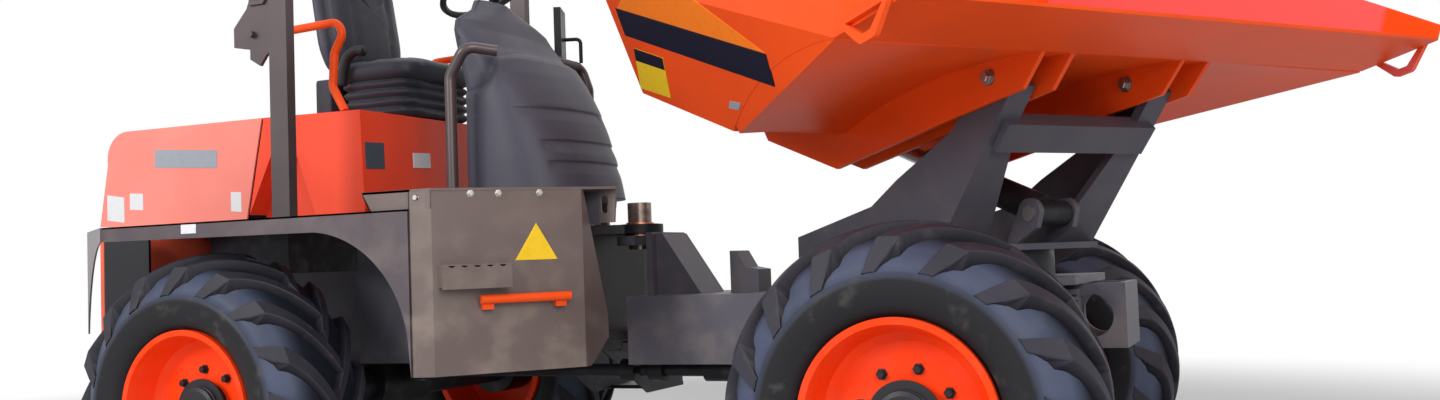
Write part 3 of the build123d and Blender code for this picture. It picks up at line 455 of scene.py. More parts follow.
def makeStudio(s):
    # lamps turned towards the machine; rays from the camera, from gloss and through glass see a white world
    for name, (place, size, power) in s["lamps"].items():
        data = bpy.data.lights.new(name, "AREA")
        data.size = size
        data.energy = power
        lamp = inScene(name, data)
        lamp.location = place
        lamp.rotation_euler = (Vector(s["aim"]) - Vector(place)).to_track_quat("-Z", "Y").to_euler()
    world = bpy.data.worlds.new("studio")
    world.use_nodes = True
    bpy.context.scene.world = world
    nodes, link = world.node_tree.nodes, world.node_tree.links.new
    paths = nodes.new("ShaderNodeLightPath").outputs
    seen = paths["Is Camera Ray"]
    for kind in ("Is Glossy Ray", "Is Transmission Ray"):
        either = nodes.new("ShaderNodeMath")
        either.operation = "MAXIMUM"
        link(seen, either.inputs[0])
        link(paths[kind], either.inputs[1])
        seen = either.outputs[0]
    strength = nodes.new("ShaderNodeMapRange")
    strength.inputs["To Min"].default_value = s["worldLight"]
    strength.inputs["To Max"].default_value = s["worldSeen"]
    link(seen, strength.inputs["Value"])
    background = nodes["Background"]
    link(strength.outputs[0], background.inputs["Strength"])
    background.inputs["Color"].default_value = (1, 1, 1, 1)


def makeFloor(s):
    # a pale square that the camera sees fade to white away from the machine
    half = s["floorSize"] / 2
    outline = [(-half, -half, 0), (half, -half, 0), (half, half, 0), (-half, half, 0)]
    mesh = bpy.data.meshes.new("floor")
    mesh.from_pydata(outline, [], [(0, 1, 2, 3)])
    floor = inScene("floor", mesh)
    finish = Finish("floorPale")
    finish.set(BaseColor=shade((1, 1, 1), s["floorShade"]), Roughness=0.85, SpecularIORLevel=0.2)
    away = finish.node("ShaderNodeVectorMath", {"operation": "LENGTH"}, {0: finish.place}, out="Value")
    paths = finish.node("ShaderNodeLightPath", out="Is Camera Ray")
    white = finish.node("ShaderNodeEmission", sockets={"Color": (1, 1, 1, 1), "Strength": 1.0})
    mixed = finish.node("ShaderNodeMixShader", sockets={
        0: paths * away.above(*s["floorFade"]), 1: Signal(finish, finish.shader.outputs[0]), 2: white})
    finish.tree.links.new(mixed.socket, finish.tree.nodes["Material Output"].inputs["Surface"])
    mesh.materials.append(finish.material)


makeStudio(studioSettings)
makeFloor(studioSettings)
bpy.context.scene.view_settings.view_transform = "Standard"
print("camera, studio and floor made")

# Tyres: metres from the wheel's middle plane and from its axle, degrees round the axle
tyreSettings = {
    "turns": 128, "lugs": 16, "crown": 0.539, "drop": 0.045, "dropPower": 2.2, "shoulder": 0.172,
    "sweep": 27.0, "sweepPower": 1.15, "start": 0.4, "noseHalf": 2.9, "shoulderHalf": 3.7, "noseLift": 0.002,
    "overlap": (-0.02, -0.014), "rows": 13, "sunk": 0.004, "flank": 1.14, "flat": 0.86, "bevel": 0.003,
    "plainRing": (0.392, 0.402), "groundFrom": 0.497, "groundFade": 0.03, "treadRows": 9,
    "section": ((0.15, 0.266), (0.158, 0.285), (0.178, 0.292), (0.19, 0.312), (0.197, 0.345),
                (0.199, 0.378), (0.197, 0.398), (0.19, 0.402), (0.184, 0.418), (0.172, 0.44),
                (0.152, 0.464), (0.126, 0.484), (0.095, 0.496), (0.05, 0.503), (0.0, 0.505)),
    # the lug's facet on the side wall: across, lead, half width and radius at the top
    "facet": ((0.186, 3.4, 3.5, 0.447), (0.1965, 7.6, 2.6, 0.4035)),
    "facetInset": 0.009, "facetDepth": (0.022, 0.003),
}


def tyreRing(s, x, side):
    # carcass: the tyre's section carried once round the axle, radius against distance from the middle
    section = np.array(s["section"])
    section = np.concatenate([section, section[-2::-1] * (-1, 1)])
    turn = fullTurn(s["turns"])[:, None]
    across, radius = section[None, :, 0], section[None, :, 1]
    points = onWheel(x, side, across, radius, turn)
    inner, outer = s["plainRing"]
    # ring marks the plain black ring; crest is 1 on the side wall and 0 on the tread, where the valley colour
    # paints shade between the lugs
    marks = {"ring": np.clip((outer - radius) / (outer - inner), 0, 1) + 0 * turn,
             "crest": np.clip((s["groundFrom"] - radius) / s["groundFade"], 0, 1) + 0 * turn}
    return ringShape(points, True), {name: values.reshape(-1) for name, values in marks.items()}


def tyreLugs(s, x, side):
    # each lug: a flat-topped bar swept from the middle to the shoulder, then a facet that runs out on the
    # wall; the other half of the tread is its mirror image, half a pitch on
    along = np.concatenate([s["overlap"], np.linspace(0.0, s["shoulder"], s["rows"])])
    inward = 1 - along / s["shoulder"]
    lead = -s["sweep"] * inward ** s["sweepPower"]
    half = s["shoulderHalf"] + (s["noseHalf"] - s["shoulderHalf"]) * inward
    top = s["crown"] - s["drop"] * (np.abs(along) / s["shoulder"]) ** s["dropPower"]
    tread = np.array(s["section"])[::-1][:s["treadRows"]]
    base = np.interp(np.abs(along), tread[:, 0], tread[:, 1]) - s["sunk"]
    top[0] = base[0] + s["noseLift"]
    wall = np.array(s["facet"])
    baseAcross = np.concatenate([along, wall[:, 0] - s["facetInset"]])
    base = np.concatenate([base, wall[:, 3] - s["facetDepth"]])
    across, lead, half, top = (np.concatenate([bar, wall[:, column]])
                               for column, bar in enumerate((along, lead, half, top)))
    # the lug's six long edges: across, radius and share of its half width
    edges = [(baseAcross, base, -s["flank"]), (across, top - s["bevel"], -1.0), (across, top, -s["flat"]),
             (across, top, s["flat"]), (across, top - s["bevel"], 1.0), (baseAcross, base, s["flank"])]
    wide, radius = (np.stack([edge[item] for edge in edges], -1) for item in (0, 1))
    angle = lead[:, None] + half[:, None] * np.array([edge[2] for edge in edges])
    rows, columns = radius.shape
    faces = repeated(gridFaces(rows, columns), rows * columns, s["lugs"])
    shapes = []
    for way, offset in ((-1, 0.0), (1, 0.5)):
        starts = 360.0 / s["lugs"] * (np.arange(s["lugs"]) + offset) + s["start"]
        turn = np.radians(starts[:, None, None] + angle[None])
        points = onWheel(x, side, way * wide, radius, turn).reshape(-1, 3)
        shapes.append((points, faces if way < 0 else faces[:, ::-1]))
    # crest is 0 along each lug's foot and 1 on its top, so the foot gets the painted shade of the valley
    # colour
    crest = np.tile((np.array([0, 1, 1, 1, 1, 0]) + 0 * radius).reshape(-1), 2 * s["lugs"])
    return joined(*shapes), {"crest": crest, "ring": 0 * crest}


for corner, (x, side) in corners.items():
    carcass, marks = tyreRing(tyreSettings, x, side)
    addPiece(f"tyreCarcass_{corner}", carcass, "wall", f"wheel_{corner}", (f"tyre_{corner}",),
             smooth=True, marks=marks)
    lugs, marks = tyreLugs(tyreSettings, x, side)
    addPiece(f"tyreLugs_{corner}", lugs, "lug", f"wheel_{corner}", marks=marks)
print("tyres made")

# Console cover, in metres and, round its bowed front, in degrees
consoleSettings = {
    # height, back, shoulder, half width and foremost point of each level
    "levels": ((1.2424, 0.645, 0.78, 0.33, 1.085), (1.3, 0.645, 0.78, 0.33, 1.072),
               (1.4, 0.645, 0.775, 0.33, 1.045), (1.5, 0.645, 0.765, 0.329, 1.01),
               (1.6, 0.645, 0.75, 0.328, 0.968), (1.66, 0.642, 0.738, 0.326, 0.934),
               (1.72, 0.628, 0.722, 0.324, 0.896), (1.78, 0.612, 0.7, 0.32, 0.85),
               (1.83, 0.603, 0.645, 0.318, 0.785), (1.9, 0.59, 0.615, 0.316, 0.715),
               (1.94, 0.585, 0.605, 0.3, 0.69), (1.97, 0.58, 0.6, 0.24, 0.67),
               (2.00, 0.565, 0.585, 0.17, 0.645), (2.03, 0.55, 0.565, 0.13, 0.62),
               (2.05, 0.545, 0.555, 0.105, 0.6)),
    "rows": 190, "corner": 0.035, "cornerColumns": 6, "sideColumns": 16, "frontColumns": 61,
    "squareness": 0.86, "sideShares": (0.06, 0.94), "backShares": (0.75, -0.75), "backColumns": 5,
    # pressed bands: height of the upper edge, first and last angle
    "bands": ((1.585, -68, 22), (1.585, 32, 75), (1.46, -50, 78), (1.38, -48, 80)),
    "depth": 0.008, "edge": 0.004, "endSoft": 3, "fade": 0.05,
    "crease": ((0.655, -0.33, 1.645), (0.69, -0.327, 1.65), (0.725, -0.326, 1.661), (0.759, -0.324, 1.683),
               (0.775, -0.316, 1.71), (0.782, -0.304, 1.742), (0.778, -0.29, 1.778), (0.797, -0.2, 1.8),
               (0.81, -0.116, 1.806), (0.818, 0.0, 1.807)),
    "creaseSteps": 160, "creaseDepth": 0.008, "creaseWidth": 0.009,
    "setback": 0.014, "setbackEdge": 0.008, "setbackFade": 0.22, "axis": 0.6,
}


def scored(points, s):
    # a soft groove along the crease and its mirror image: bell-shaped in the distance from the line
    knots = np.array(s["crease"])
    share = np.linspace(0, len(knots) - 1, s["creaseSteps"])
    line = np.stack([np.interp(share, np.arange(len(knots)), knots[:, axis]) for axis in range(3)], -1)
    line = np.concatenate([line, line * (1, -1, 1)])
    away = np.linalg.norm(points.reshape(-1, 1, 3) - line[None], axis=2).min(1).reshape(points.shape[:2])
    inward = s["axis"] * axisX - points * (1, 1, 0)
    inward /= np.maximum(np.linalg.norm(inward, axis=-1), 1e-6)[..., None]
    groove = s["creaseDepth"] * np.exp(-(away / s["creaseWidth"]) ** 2)
    # above the crease the cover steps back, most at the line and less towards the top
    around = np.arctan2(np.abs(points[..., 1]), points[..., 0] - s["axis"])
    lineAround = np.arctan2(-knots[::-1, 1], knots[::-1, 0] - s["axis"])
    above = points[..., 2] - np.interp(around, lineAround, knots[::-1, 2])
    step = np.clip(above / s["setbackEdge"], 0, 1) * np.clip(1 - above / s["setbackFade"], 0, 1)
    return points + inward * (groove + s["setback"] * step)[..., None]


def consoleCover(s):
    # level by level: straight back, rounded rear corners, straight sides and a bowed front that runs from
    # shoulder to shoulder as a squared-off half circle
    levels = np.array(s["levels"])
    z = np.linspace(levels[0, 0], levels[-1, 0], s["rows"])[:, None]
    rear, shoulder, half, apex = (np.interp(z, levels[:, 0], levels[:, column]) for column in range(1, 5))
    degrees = np.linspace(-90, 90, s["frontColumns"])[None, :]
    bow = np.radians(degrees)
    reach = np.cos(bow) ** s["squareness"]
    for edge, start, end in s["bands"]:
        # each band is pressed in below a sharp upper edge and fades out downwards
        inside = (np.clip((degrees - start) / s["endSoft"], 0, 1)
                  * np.clip((end - degrees) / s["endSoft"], 0, 1))
        drop = np.clip((edge - z) / s["edge"], 0, 1) * np.clip(1 - (edge - z) / s["fade"], 0, 1)
        reach = reach - s["depth"] * inside * drop / (apex - shoulder)
    frontX = shoulder + (apex - shoulder) * reach
    frontY = half * signedPower(np.sin(bow), s["squareness"])
    turn = np.radians(np.linspace(0, 90, s["cornerColumns"]))[None, :]
    cornerX = rear + s["corner"] * (1 - np.sin(turn))
    cornerY = half - s["corner"] * (1 - np.cos(turn))
    share = np.linspace(*s["sideShares"], s["sideColumns"])[None, :]
    sideX = shoulder + (rear + s["corner"] - shoulder) * share
    sideY = half + 0 * sideX
    backY = np.linspace(*s["backShares"], s["backColumns"])[None, :] * half
    backX = rear + 0 * backY
    x = np.concatenate([frontX, sideX, cornerX, backX, cornerX[:, ::-1], sideX[:, ::-1]], 1)
    y = np.concatenate([frontY, sideY, cornerY, backY, -cornerY[:, ::-1], -sideY[:, ::-1]], 1)
    return closedRings(scored(np.stack([x, y, z + 0 * x], -1), s))


addPiece("consoleCover", consoleCover(consoleSettings), "plastic", "rear_chassis",
         ("console",), smooth=True)
print("console made")


def cushionForm(size, edge, crown, rows=28, columns=56):
    # rounded box: signed powers of sines and cosines of two angles, its top and bottom swollen in the middle
    lift = np.linspace(-np.pi / 2, np.pi / 2, rows)[:, None]
    turn = fullTurn(columns, -np.pi)[None, :]
    x = signedPower(np.cos(lift), edge[1]) * signedPower(np.cos(turn), edge[0])
    y = signedPower(np.cos(lift), edge[1]) * signedPower(np.sin(turn), edge[0])
    z = signedPower(np.sin(lift), edge[1]) + 0 * turn
    z = z + crown * z * (1 - x ** 2) * (1 - y ** 2)
    return ringShape(np.stack([x * size[0], y * size[1], z * size[2]], -1))


def channels(points, axis, places, depth, width, onset=0.02):
    # sewn channels: bell-shaped dips across the upper face at the given places along one axis
    across = points[:, axis][:, None] - np.array(places)[None, :]
    dip = (depth * np.exp(-(across / width) ** 2)).sum(1)
    points[:, 2] -= dip * np.clip(points[:, 2] / onset, 0, 1)
    return points


def tubeForm(route, radius, sides=10, steps=8, tip=0.02):
    # round tube: a circle carried along a smooth cubic curve through the route's points, its ends closed
    route = np.array(route, float)
    padded = np.concatenate([2 * route[:1] - route[1:2], route, 2 * route[-1:] - route[-2:-1]])
    t = (np.arange(steps) / steps)[None, :, None]
    a, b, c, d = (padded[i:len(padded) - 3 + i][:, None] for i in range(4))
    squared = (2 * a - 5 * b + 4 * c - d) * t ** 2
    cubed = (3 * b - a - 3 * c + d) * t ** 3
    curve = 0.5 * (2 * b + (c - a) * t + squared + cubed)
    curve = np.concatenate([curve.reshape(-1, 3), route[-1:]])
    ahead = unit(np.gradient(curve, axis=0))
    # a guide that is never along the tube
    guide = np.array([0.31, 0.17, 0.94]) if abs(ahead[:, 2]).max() < 0.9 else np.array([0.9, 0.35, 0.2])
    first = unit(np.cross(ahead, guide))
    second = np.cross(ahead, first)
    turn = fullTurn(sides)[None, :, None]
    thick = np.concatenate([[tip], np.full(len(curve) - 2, 1.0), [tip]])[:, None, None] * radius
    rings = curve[:, None] + thick * (np.cos(turn) * first[:, None] + np.sin(turn) * second[:, None])
    rings = np.concatenate([rings[:1], curve[:1, None] + (rings[1:2] - curve[1:2, None]), rings[1:-1],
                            curve[-1:, None] + (rings[-2:-1] - curve[-2:-1, None]), rings[-1:]])
    return ringShape(rings)


def boltHeads(places, out, radius, height, sides=6):
    # heads on washers: rings of falling radius stacked along the outward direction
    profile = np.array([(1.35, -0.1), (1.35, 0.18), (1.0, 0.2), (1.0, 0.86), (0.84, 1.0), (0.0, 1.0)])
    out = unit(np.array(out))
    right = unit(np.cross(out, axisZ if abs(out[2]) < 0.8 else axisX))
    up = np.cross(out, right)
    turn = fullTurn(sides)
    circle = np.cos(turn)[:, None] * right + np.sin(turn)[:, None] * up
    around = radius * profile[None, :, 0, None, None] * circle[None, None]
    outwards = height * profile[None, :, 1, None, None] * out
    points = np.array(places, float)[:, None, None] + around + outwards
    faces = repeated(gridFaces(len(profile), sides), len(profile) * sides, len(places))
    return points.reshape(-1, 3), faces


def platesOn(outlines, lift=0.0012, sunk=0.001, bevel=0.0006, inset=0.985):
    # thin plates: each outline's corners pushed off its plane towards the camera, with a bevelled rim
    shapes = []
    for outline in outlines:
        corner = np.array(outline, float)
        out = unit(np.cross(corner[1] - corner[0], corner[2] - corner[0]))
        if out @ (np.array(cameraSettings["place"]) - corner[0]) < 0:
            out = -out
        centre = corner.mean(0)
        face = out * (lift + bevel)
        shapes.append(ringShape(np.stack([
            corner - out * sunk, corner + out * lift, centre + (corner - centre) * inset + face,
            centre + 0 * corner + face])))
    return joined(*shapes)


# Seat: padded cushion and backrest, plastic back shell, bellows and block under the cushion, belt stalk
seatSettings = {
    "cushion": {"centre": (0.145, 0.0, 1.795), "size": (0.195, 0.243, 0.05), "edge": (0.42, 0.55),
                "crown": 0.22, "lean": 0, "seams": ((-0.06, 0.06), (-0.15, 0.15))},
    "back": {"centre": (-0.092, 0.0, 2.075), "size": (0.262, 0.205, 0.05), "edge": (0.5, 0.55),
             "crown": 0.3, "lean": 9.0, "seams": ((-0.02, 0.05), (-0.11, 0.11))},
    "shell": {"centre": (-0.135, 0.0, 2.07), "size": (0.28, 0.228, 0.036), "edge": (0.45, 0.7),
              "crown": 0.1, "lean": 9.0, "seams": ((), ())},
    "channelDepth": 0.009, "channelWidth": 0.007, "ripple": 0.0022,
    "bellows": {"middle": 0.14, "half": (0.155, 0.215), "foot": 1.607, "top": 1.757, "folds": 4,
                "fold": 0.018, "ruck": 0.003, "squareness": 0.35, "rows": 41, "columns": 72},
    "block": {"centre": (-0.1, -0.13, 1.693), "size": (0.04, 0.1, 0.087), "edge": (0.12, 0.12)},
    "stalk": ((0.02, -0.262, 1.74), (0.035, -0.266, 1.8), (0.06, -0.268, 1.85), (0.1, -0.268, 1.872),
              (0.14, -0.268, 1.868)),
    "stalkRadius": 0.021,
}


def seatPad(s, part):
    # a crowned form laid flat, rippled by a product of sines, its channels pressed in, then stood up to lean
    points, faces = cushionForm(part["size"], part["edge"], part["crown"])
    ripple = np.sin(points[:, 1] * 31 + 2 * np.sin(points[:, 0] * 17)) * np.cos(points[:, 0] * 23)
    points[:, 2] += s["ripple"] * ripple * np.sign(points[:, 2])
    for axis, seams in enumerate(part["seams"]):
        points = channels(points, axis, seams, s["channelDepth"], s["channelWidth"])
    if part["lean"]:
        face, top = turned(axisX, axisZ, math.radians(part["lean"]))
        points = points @ np.array([top, axisY, face])
    return points + np.array(part["centre"]), faces


def bellows(s):
    # folded skirt: a rounded rectangle whose size swells and shrinks with height
    z = np.linspace(s["foot"], s["top"], s["rows"])[:, None]
    wave = s["fold"] * np.abs(np.sin((z - s["foot"]) / (s["top"] - s["foot"]) * np.pi * s["folds"]))
    turn = fullTurn(s["columns"], -np.pi)[None, :]
    swell = wave + s["ruck"] * np.sin(turn * 9 + z * 60)
    x = s["middle"] + (s["half"][0] + swell) * signedPower(np.cos(turn), s["squareness"])
    y = (s["half"][1] + swell) * signedPower(np.sin(turn), s["squareness"])
    return closedRings(np.stack([x, y, z + 0 * turn], -1))


def mountBlock(s):
    # nearly square block beside the bellows
    points, faces = cushionForm(s["size"], s["edge"], 0.0, rows=16, columns=32)
    return points + np.array(s["centre"]), faces


cushion = addPiece("seatCushion", seatPad(seatSettings, seatSettings["cushion"]), "vinyl", "rear_chassis",
                   ("seat_cushion",), smooth=True)
backPad = addPiece("seatBackPad", seatPad(seatSettings, seatSettings["back"]), "vinyl", "rear_chassis",
                   ("seat_back",), smooth=True)
addPiece("seatShell", seatPad(seatSettings, seatSettings["shell"]), "plastic", "rear_chassis",
         smooth=True)
addPiece("seatBellows", joined(bellows(seatSettings["bellows"]), mountBlock(seatSettings["block"])), "vinyl",
         "rear_chassis", ("seat_suspension",), smooth=True)
addPiece("beltStalk", tubeForm(seatSettings["stalk"], seatSettings["stalkRadius"]), "black", "rear_chassis",
         smooth=True)
print("seat made")

# Wheel nuts round each rim's disc and the cap on its hub, turned as in the photograph
boltSettings = {
    "disc": 0.062, "nuts": 8, "nutCircle": 0.1375, "nutRadius": 0.0125, "nutHeight": 0.02, "rearTurn": 4.7,
    "frontTurn": 30.0, "capOut": 0.0285, "capRadius": 0.0785, "capHeight": 0.03, "capSides": 40,
}


def hubCap(s, x, side):
    # a many-sided head in the middle of the disc
    centre = (x, side * (machine["halfTrack"] + s["disc"] + s["capOut"]), machine["axleHeight"])
    return boltHeads([centre], (0, side, 0), s["capRadius"], s["capHeight"], s["capSides"])


def wheelNuts(s, x, side):
    # heads at even angles on a circle round the axle
    turn = np.radians(np.arange(s["nuts"]) * 360 / s["nuts"] + (s["frontTurn"] if x else s["rearTurn"]))
    places = onWheel(x, side, side * s["disc"], s["nutCircle"], turn)
    return boltHeads(places, (0, side, 0), s["nutRadius"], s["nutHeight"])


for corner, (x, side) in corners.items():
    body = f"wheel_{corner}"
    addPiece(f"hubCap_{corner}", hubCap(boltSettings, x, side), "black", body)
    addPiece(f"wheelNuts_{corner}", wheelNuts(boltSettings, x, side), "cast", body)

# Bolts on the box: places on its slanted face are distance along it and height
boxSettings = {
    "start": (1.05, -1.08, 0.0), "along": (0.656, 0.755, 0.0), "out": (0.755, -0.656, 0.0),
    "bolts": ((0.124, 1.224), (0.213, 1.224), (0.347, 1.224)), "boltLift": 0.001, "boltRadius": 0.009,
    "sideBolt": (1.0, -1.086, 1.215),
    "sign": ((0.333, 1.127), (0.262, 1.01), (0.401, 1.01), (0.3335, 1.1265)), "signLift": 0.0006,
}


def onChamfer(s, places, lift):
    # points on the box's slanted face, lifted off it
    places = np.array(places, float)
    start, along, out = (np.array(s[key]) for key in ("start", "along", "out"))
    return start + places[:, :1] * along + places[:, 1:] * axisZ + lift * out


def boxBolts(s):
    # a row of heads on the slanted face and one on the side
    row = onChamfer(s, s["bolts"], s["boltLift"])
    return joined(boltHeads(row, s["out"], s["boltRadius"], s["boltRadius"]),
                  boltHeads([s["sideBolt"]], (0, -1, 0), s["boltRadius"], s["boltRadius"]))


addPiece("boxBolts", boxBolts(boxSettings), "zinc", "rear_chassis")

# The right wing: skirt with the arch, top sheet and the skirt below its slanted rear edge
wingSettings = {
    "outer": 1.1, "inner": 0.5, "top": 1.18, "lip": 0.05, "rear": -0.333, "front": 0.975, "sheet": 0.006,
    "arch": ((0.604, 1.124), (0.85, 1.01), (0.968, 0.74)), "archSteps": 40, "foot": 0.66,
    # the slanted edge: where it ends, and its skirt's lower edge as share of its length and drop
    "slantEnd": (-0.674, 0.866), "slantArc": ((0.0, -0.05), (0.62, -0.15), (1.0, -0.38)), "slantSteps": 24,
}


def circleThrough(start, middle, end):
    # centre and radius of the circle through three points: the centre is at equal distance from all three
    centre = np.linalg.solve(2 * np.array([middle - start, end - start]),
                             np.array([middle @ middle - start @ start, end @ end - start @ start]))
    return centre, np.linalg.norm(start - centre)


def arcThrough(points, count):
    # points at even angles on the circle through three points
    points = np.array(points, float)
    centre, radius = circleThrough(*points)
    angles = np.unwrap([math.atan2(*(point - centre)[::-1]) for point in points])
    turn = np.linspace(angles[0], angles[2], count)[:, None]
    return centre + radius * np.concatenate([np.cos(turn), np.sin(turn)], 1)


def sheetBetween(upper, lower, shift):
    # sheet between two edges of equal point counts, as thick as the shift
    return closedRings(np.stack([upper, lower, lower + shift, upper + shift], 1))


def wingSheets(s):
    # sheets between edges: the skirt's lower edge is lip, arc of the arch and box edge, the rear's is an arc
    low = np.concatenate([[(s["rear"], s["top"] - s["lip"])], arcThrough(s["arch"], s["archSteps"]),
                          [(s["front"], s["foot"])]])
    skirtLow = np.stack([low[:, 0], -s["outer"] + 0 * low[:, 0], low[:, 1]], -1)
    skirtTop = skirtLow * (1, 1, 0) + s["top"] * axisZ
    skirt = sheetBetween(skirtTop, skirtLow, s["sheet"] * axisY)
    endX, endY = s["slantEnd"]
    outerEdge = np.array([(endX, -endY, s["top"]), (s["rear"], -s["outer"], s["top"]),
                          (s["front"], -s["outer"], s["top"])])
    innerEdge = outerEdge * (1, 0, 1) - s["inner"] * axisY
    top = sheetBetween(outerEdge, innerEdge, -s["sheet"] * axisZ)
    way = outerEdge[0] - outerEdge[1]
    length = np.linalg.norm(way)
    edge = arcThrough([(share * length, drop) for share, drop in s["slantArc"]], s["slantSteps"])
    rearTop = outerEdge[1] + edge[:, :1] / length * way
    rearLow = rearTop + edge[:, 1:] * axisZ
    rear = sheetBetween(rearTop, rearLow, np.cross(way / length, -s["sheet"] * axisZ))
    return joined(skirt, top, rear)


addPiece("wingSheets", wingSheets(wingSettings), "wing", "rear_chassis", ("wing_right",))

# Flat sheets: finish, body, and each plate's outline with the shift that makes it thick
sheetSettings = {
    "footwellPanel": ("rearFrame", "rear_chassis", [
        ([(0.335, -0.56, 0.66), (0.9755, -0.56, 0.66), (0.9755, -0.56, 1.1735), (0.335, -0.56, 1.1735)],
         (0, -0.006, 0))]),
    "deckSide": ("grey", "rear_chassis", [
        ([(0.825, -1.0835, 1.1805), (1.05, -1.0835, 1.1805), (1.05, -1.0835, 1.2415),
          (0.787, -1.0835, 1.2415)], (0, 0.006, 0)),
        ([(0.787, -1.0835, 1.242), (0.975, -1.0835, 1.242), (0.33, -0.5, 1.242)], (0, 0, -0.008))]),
    "towerCover": ("frame", "front_chassis", [
        ([(1.35, -0.0865, 1.0945), (1.4995, -0.0865, 0.8705), (1.4995, 0.0865, 0.8705),
          (1.35, 0.0865, 1.0945)], (-0.008, 0, -0.005))]),
    "bracketPlate": ("frame", "rear_chassis", [
        ([(1.215, -0.6, 1.12), (1.3755, -0.6, 1.12), (1.3755, -0.6, 1.233), (1.215, -0.6, 1.233)],
         (0, -0.008, 0))]),
}


def flatSheet(outline, shift):
    # flat plate: the outline, its copy moved by the shift and the faces between
    outline, shift = np.array(outline, float), np.array(shift, float)
    centre = outline.mean(0) + 0 * outline
    return ringShape(np.stack([centre, outline, outline + shift, centre + shift]))


for name, (finish, body, plates) in sheetSettings.items():
    addPiece(name, joined(*[flatSheet(*plate) for plate in plates]), finish, body)
print("sheets made")

# Skip flanks, in the skip's own directions: distance forwards or across, then height
flankSettings = {
    "arc": ((-0.145, 1.18), (0.44, 1.5), (0.77, 1.602)), "line": ((-0.105, 1.181), (0.765, 1.596)),
    "wallFoot": (0.774, 1.171), "wallTop": (1.048, 1.602), "rib": 0.3575, "rows": 48, "columns": 20,
    "sunk": 0.003, "inside": 0.0002,
    "pinEnds": (-0.3505, 0.2075), "boltRadius": 0.017, "boltHeight": 0.016,
}


def skipFrame():
    # origin and the three directions of the swivelled and tipped skip: forwards, across and up
    across, level = turned(axisY, axisX, math.radians(machine["swivel"]))
    upwards, forwards = turned(axisZ, level, math.radians(machine["tip"]))
    reach, rise = machine["skipPin"]
    pin = axisX * machine["slewRing"] + level * reach + axisZ * rise
    return pin - forwards * reach - upwards * rise, forwards, across, upwards


def skipFlank(s, side):
    # ruled surface between the slope's arc on the rib's plane and the straight edge on the wall's plane
    start, middle, end = np.array(s["arc"])
    centre, radius = circleThrough(start, middle, end)
    forwards = np.linspace(s["line"][0][0], s["line"][1][0], s["rows"])[:, None]
    bulge = np.sign(middle[1] - centre[1])
    arc = centre[1] + bulge * np.sqrt(radius ** 2 - (forwards - centre[0]) ** 2)
    straight = np.minimum(np.interp(forwards, *zip(*s["line"])), arc)
    share = np.linspace(0, 1, s["columns"])[None, :]
    # the wall's distance across at the height of the straight edge and of the arc
    walls = [np.interp(height, (s["wallFoot"][1], s["wallTop"][1]), (s["wallFoot"][0], s["wallTop"][0]))
             - s["inside"] for height in (straight, arc)]
    under = arc * (1 - share) + straight * share
    over = arc + s["sunk"] + 0 * share
    underAcross, overAcross = (s["rib"] * (1 - share) + wall * share for wall in walls)
    heights = np.concatenate([under, over[:, ::-1]], 1)[..., None]
    acrosses = side * np.concatenate([underAcross, overAcross[:, ::-1]], 1)[..., None]
    origin, ahead, across, upwards = skipFrame()
    return closedRings(origin + forwards[..., None] * ahead + acrosses * across + heights * upwards)


def pinBolts(s):
    # one head at the right end of each of the skip's pins
    origin, ahead, across, upwards = skipFrame()
    reach, rise = machine["skipPin"]
    places = [origin + ahead * reach + upwards * rise + across * offset for offset in s["pinEnds"]]
    return boltHeads(places, -across, s["boltRadius"], s["boltHeight"])


addPiece("skipFlanks", joined(skipFlank(flankSettings, -1), skipFlank(flankSettings, 1)), "skip", "skip_body")
addPiece("pinBolts", pinBolts(flankSettings), "zinc", "turret_body")
print("skip flanks made")

# Blank plates, bands and labels
plateColours = {
    "signYellow": (0.86, 0.56, 0.02), "bandDark": (0.006, 0.007, 0.02), "panelAmber": (0.9, 0.2, 0.012),
    "labelPale": (0.66, 0.66, 0.68), "labelGrey": (0.3, 0.32, 0.36), "labelDark": (0.06, 0.075, 0.1),
}
# the upper edge of the dark band on the skip's right wall, from end to end, and that wall's outward direction
bandSettings = {"start": (1.3225, -0.3775, 1.8923), "end": (2.152, -0.997, 1.5626),
                "out": (-0.635, -0.579, -0.511)}
pedestalSettings = {"front": 0.3055, "height": 1.6, "slope": 0.036}


def printedPlate(name, colour):
    # a smooth print, slightly blotched
    finish = Finish(name)
    blotch = finish.noise(30, 4).above(0.5, 0.2) * 0.35
    finish.set(BaseColor=finish.blend(blotch, colour, shade(colour, 0.8)),
               Roughness=0.36 + finish.noise(9, 3) * 0.15, SpecularIORLevel=0.2)
    return finish.relief(finish.noise(200, 2), 0.08, 0.0005)


def onSkip(s, *places):
    # points on the skip's right wall, by distance along the band and height above its upper edge
    start, end, out = (np.array(s[key]) for key in ("start", "end", "out"))
    along = unit(end - start)
    up = np.cross(out, along)
    up *= np.sign(up[2])
    places = np.array(places)
    return start + places[:, :1] * along + places[:, 1:] * up


def onPedestal(s, *places):
    # points on the pedestal's leaning front, by distance across and height
    return [(s["front"] + (s["height"] - z) * s["slope"], y, z) for y, z in places]


for name, colour in plateColours.items():
    finishes[name] = printedPlate(name, colour)
bandLength = math.dist(bandSettings["start"], bandSettings["end"])
signPlate = onChamfer(boxSettings, boxSettings["sign"], boxSettings["signLift"])
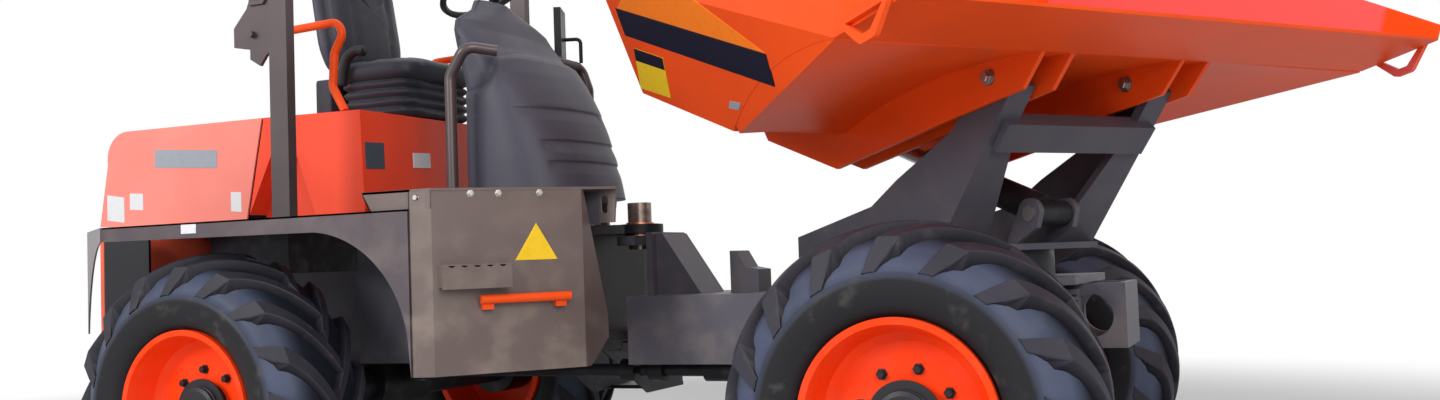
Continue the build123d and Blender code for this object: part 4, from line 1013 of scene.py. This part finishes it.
# finish, body, slot and outlines of each, and the lift where it isn't the usual one
plateSettings = {
    "signPlate": ("signYellow", "rear_chassis", "orange_steel", [signPlate]),
    "bonnetPlate": ("labelGrey", "bonnet_body", "grey_steel", [
        [(-0.731, -0.5, 1.519), (-0.401, -0.5, 1.496), (-0.402, -0.5, 1.425), (-0.733, -0.5, 1.446)]]),
    "bonnetLabels": ("labelPale", "bonnet_body", "grey_steel", [
        [(-1.0, -0.5, 1.35), (-0.905, -0.5, 1.335), (-0.905, -0.5, 1.232), (-1.0, -0.5, 1.245)],
        [(-0.873, -0.5, 1.35), (-0.8, -0.5, 1.345), (-0.8, -0.5, 1.278), (-0.873, -0.5, 1.283)],
        [(-0.332, -0.5, 1.326), (-0.279, -0.5, 1.322), (-0.279, -0.5, 1.244), (-0.332, -0.5, 1.25)]]),
    "pedestalPlate": ("labelDark", "rear_chassis", "grey_steel", [
        onPedestal(pedestalSettings, (-0.482, 1.479), (-0.372, 1.483), (-0.372, 1.383), (-0.482, 1.379))]),
    "pedestalLabel": ("labelPale", "rear_chassis", "grey_steel", [
        onPedestal(pedestalSettings, (-0.198, 1.455), (-0.087, 1.46), (-0.087, 1.4), (-0.198, 1.396))]),
    "wingLabel": ("labelPale", "rear_chassis", "grey_steel", [
        [(0.038, -1.1, 1.174), (0.105, -1.1, 1.174), (0.105, -1.1, 1.143), (0.038, -1.1, 1.143)]]),
    "skipBand": ("bandDark", "skip_body", "orange_steel", [
        onSkip(bandSettings, (0.03, 0.0), (bandLength, 0.0), (bandLength - 0.03, -0.115), (0.0, -0.115))]),
    "skipPanel": ("panelAmber", "skip_body", "orange_steel", [
        onSkip(bandSettings, (0.32, 0.16), (bandLength - 0.42, 0.16), (bandLength, 0.002), (0.05, 0.002))]),
    "skipSign": ("signYellow", "skip_body", "orange_steel", [
        [(1.363, -0.2991, 1.7533), (1.546, -0.437, 1.6819), (1.49, -0.2731, 1.566),
         (1.289, -0.1144, 1.6362)]]),
    "skipSignHead": ("bandDark", "skip_body", "orange_steel", [
        [(1.3648, -0.3006, 1.7522), (1.5448, -0.4362, 1.6822), (1.5283, -0.389, 1.6487),
         (1.3425, -0.2459, 1.7183)]], 0.0024),
    "skipLabel": ("labelGrey", "skip_body", "orange_steel", [
        [(1.8715, -0.624, 1.489), (1.9312, -0.6752, 1.4728), (1.9051, -0.6324, 1.4569),
         (1.8503, -0.5856, 1.472)]]),
}
collarSettings = {"places": ((1.205, 0, 1.1345), (1.205, 0, 1.0912)), "radius": 0.052, "height": 0.0085,
                  "sides": 32}


def pinCollars(s):
    # round collars on the steer pin
    return boltHeads(s["places"], (0, 0, 1), s["radius"], s["height"], s["sides"])


for name, (finish, body, slotName, outlines, *lift) in plateSettings.items():
    addPiece(name, platesOn(outlines, *lift), finish, body)
addPiece("pinCollars", pinCollars(collarSettings), "copper", "rear_chassis")
print("bolts and plates made")
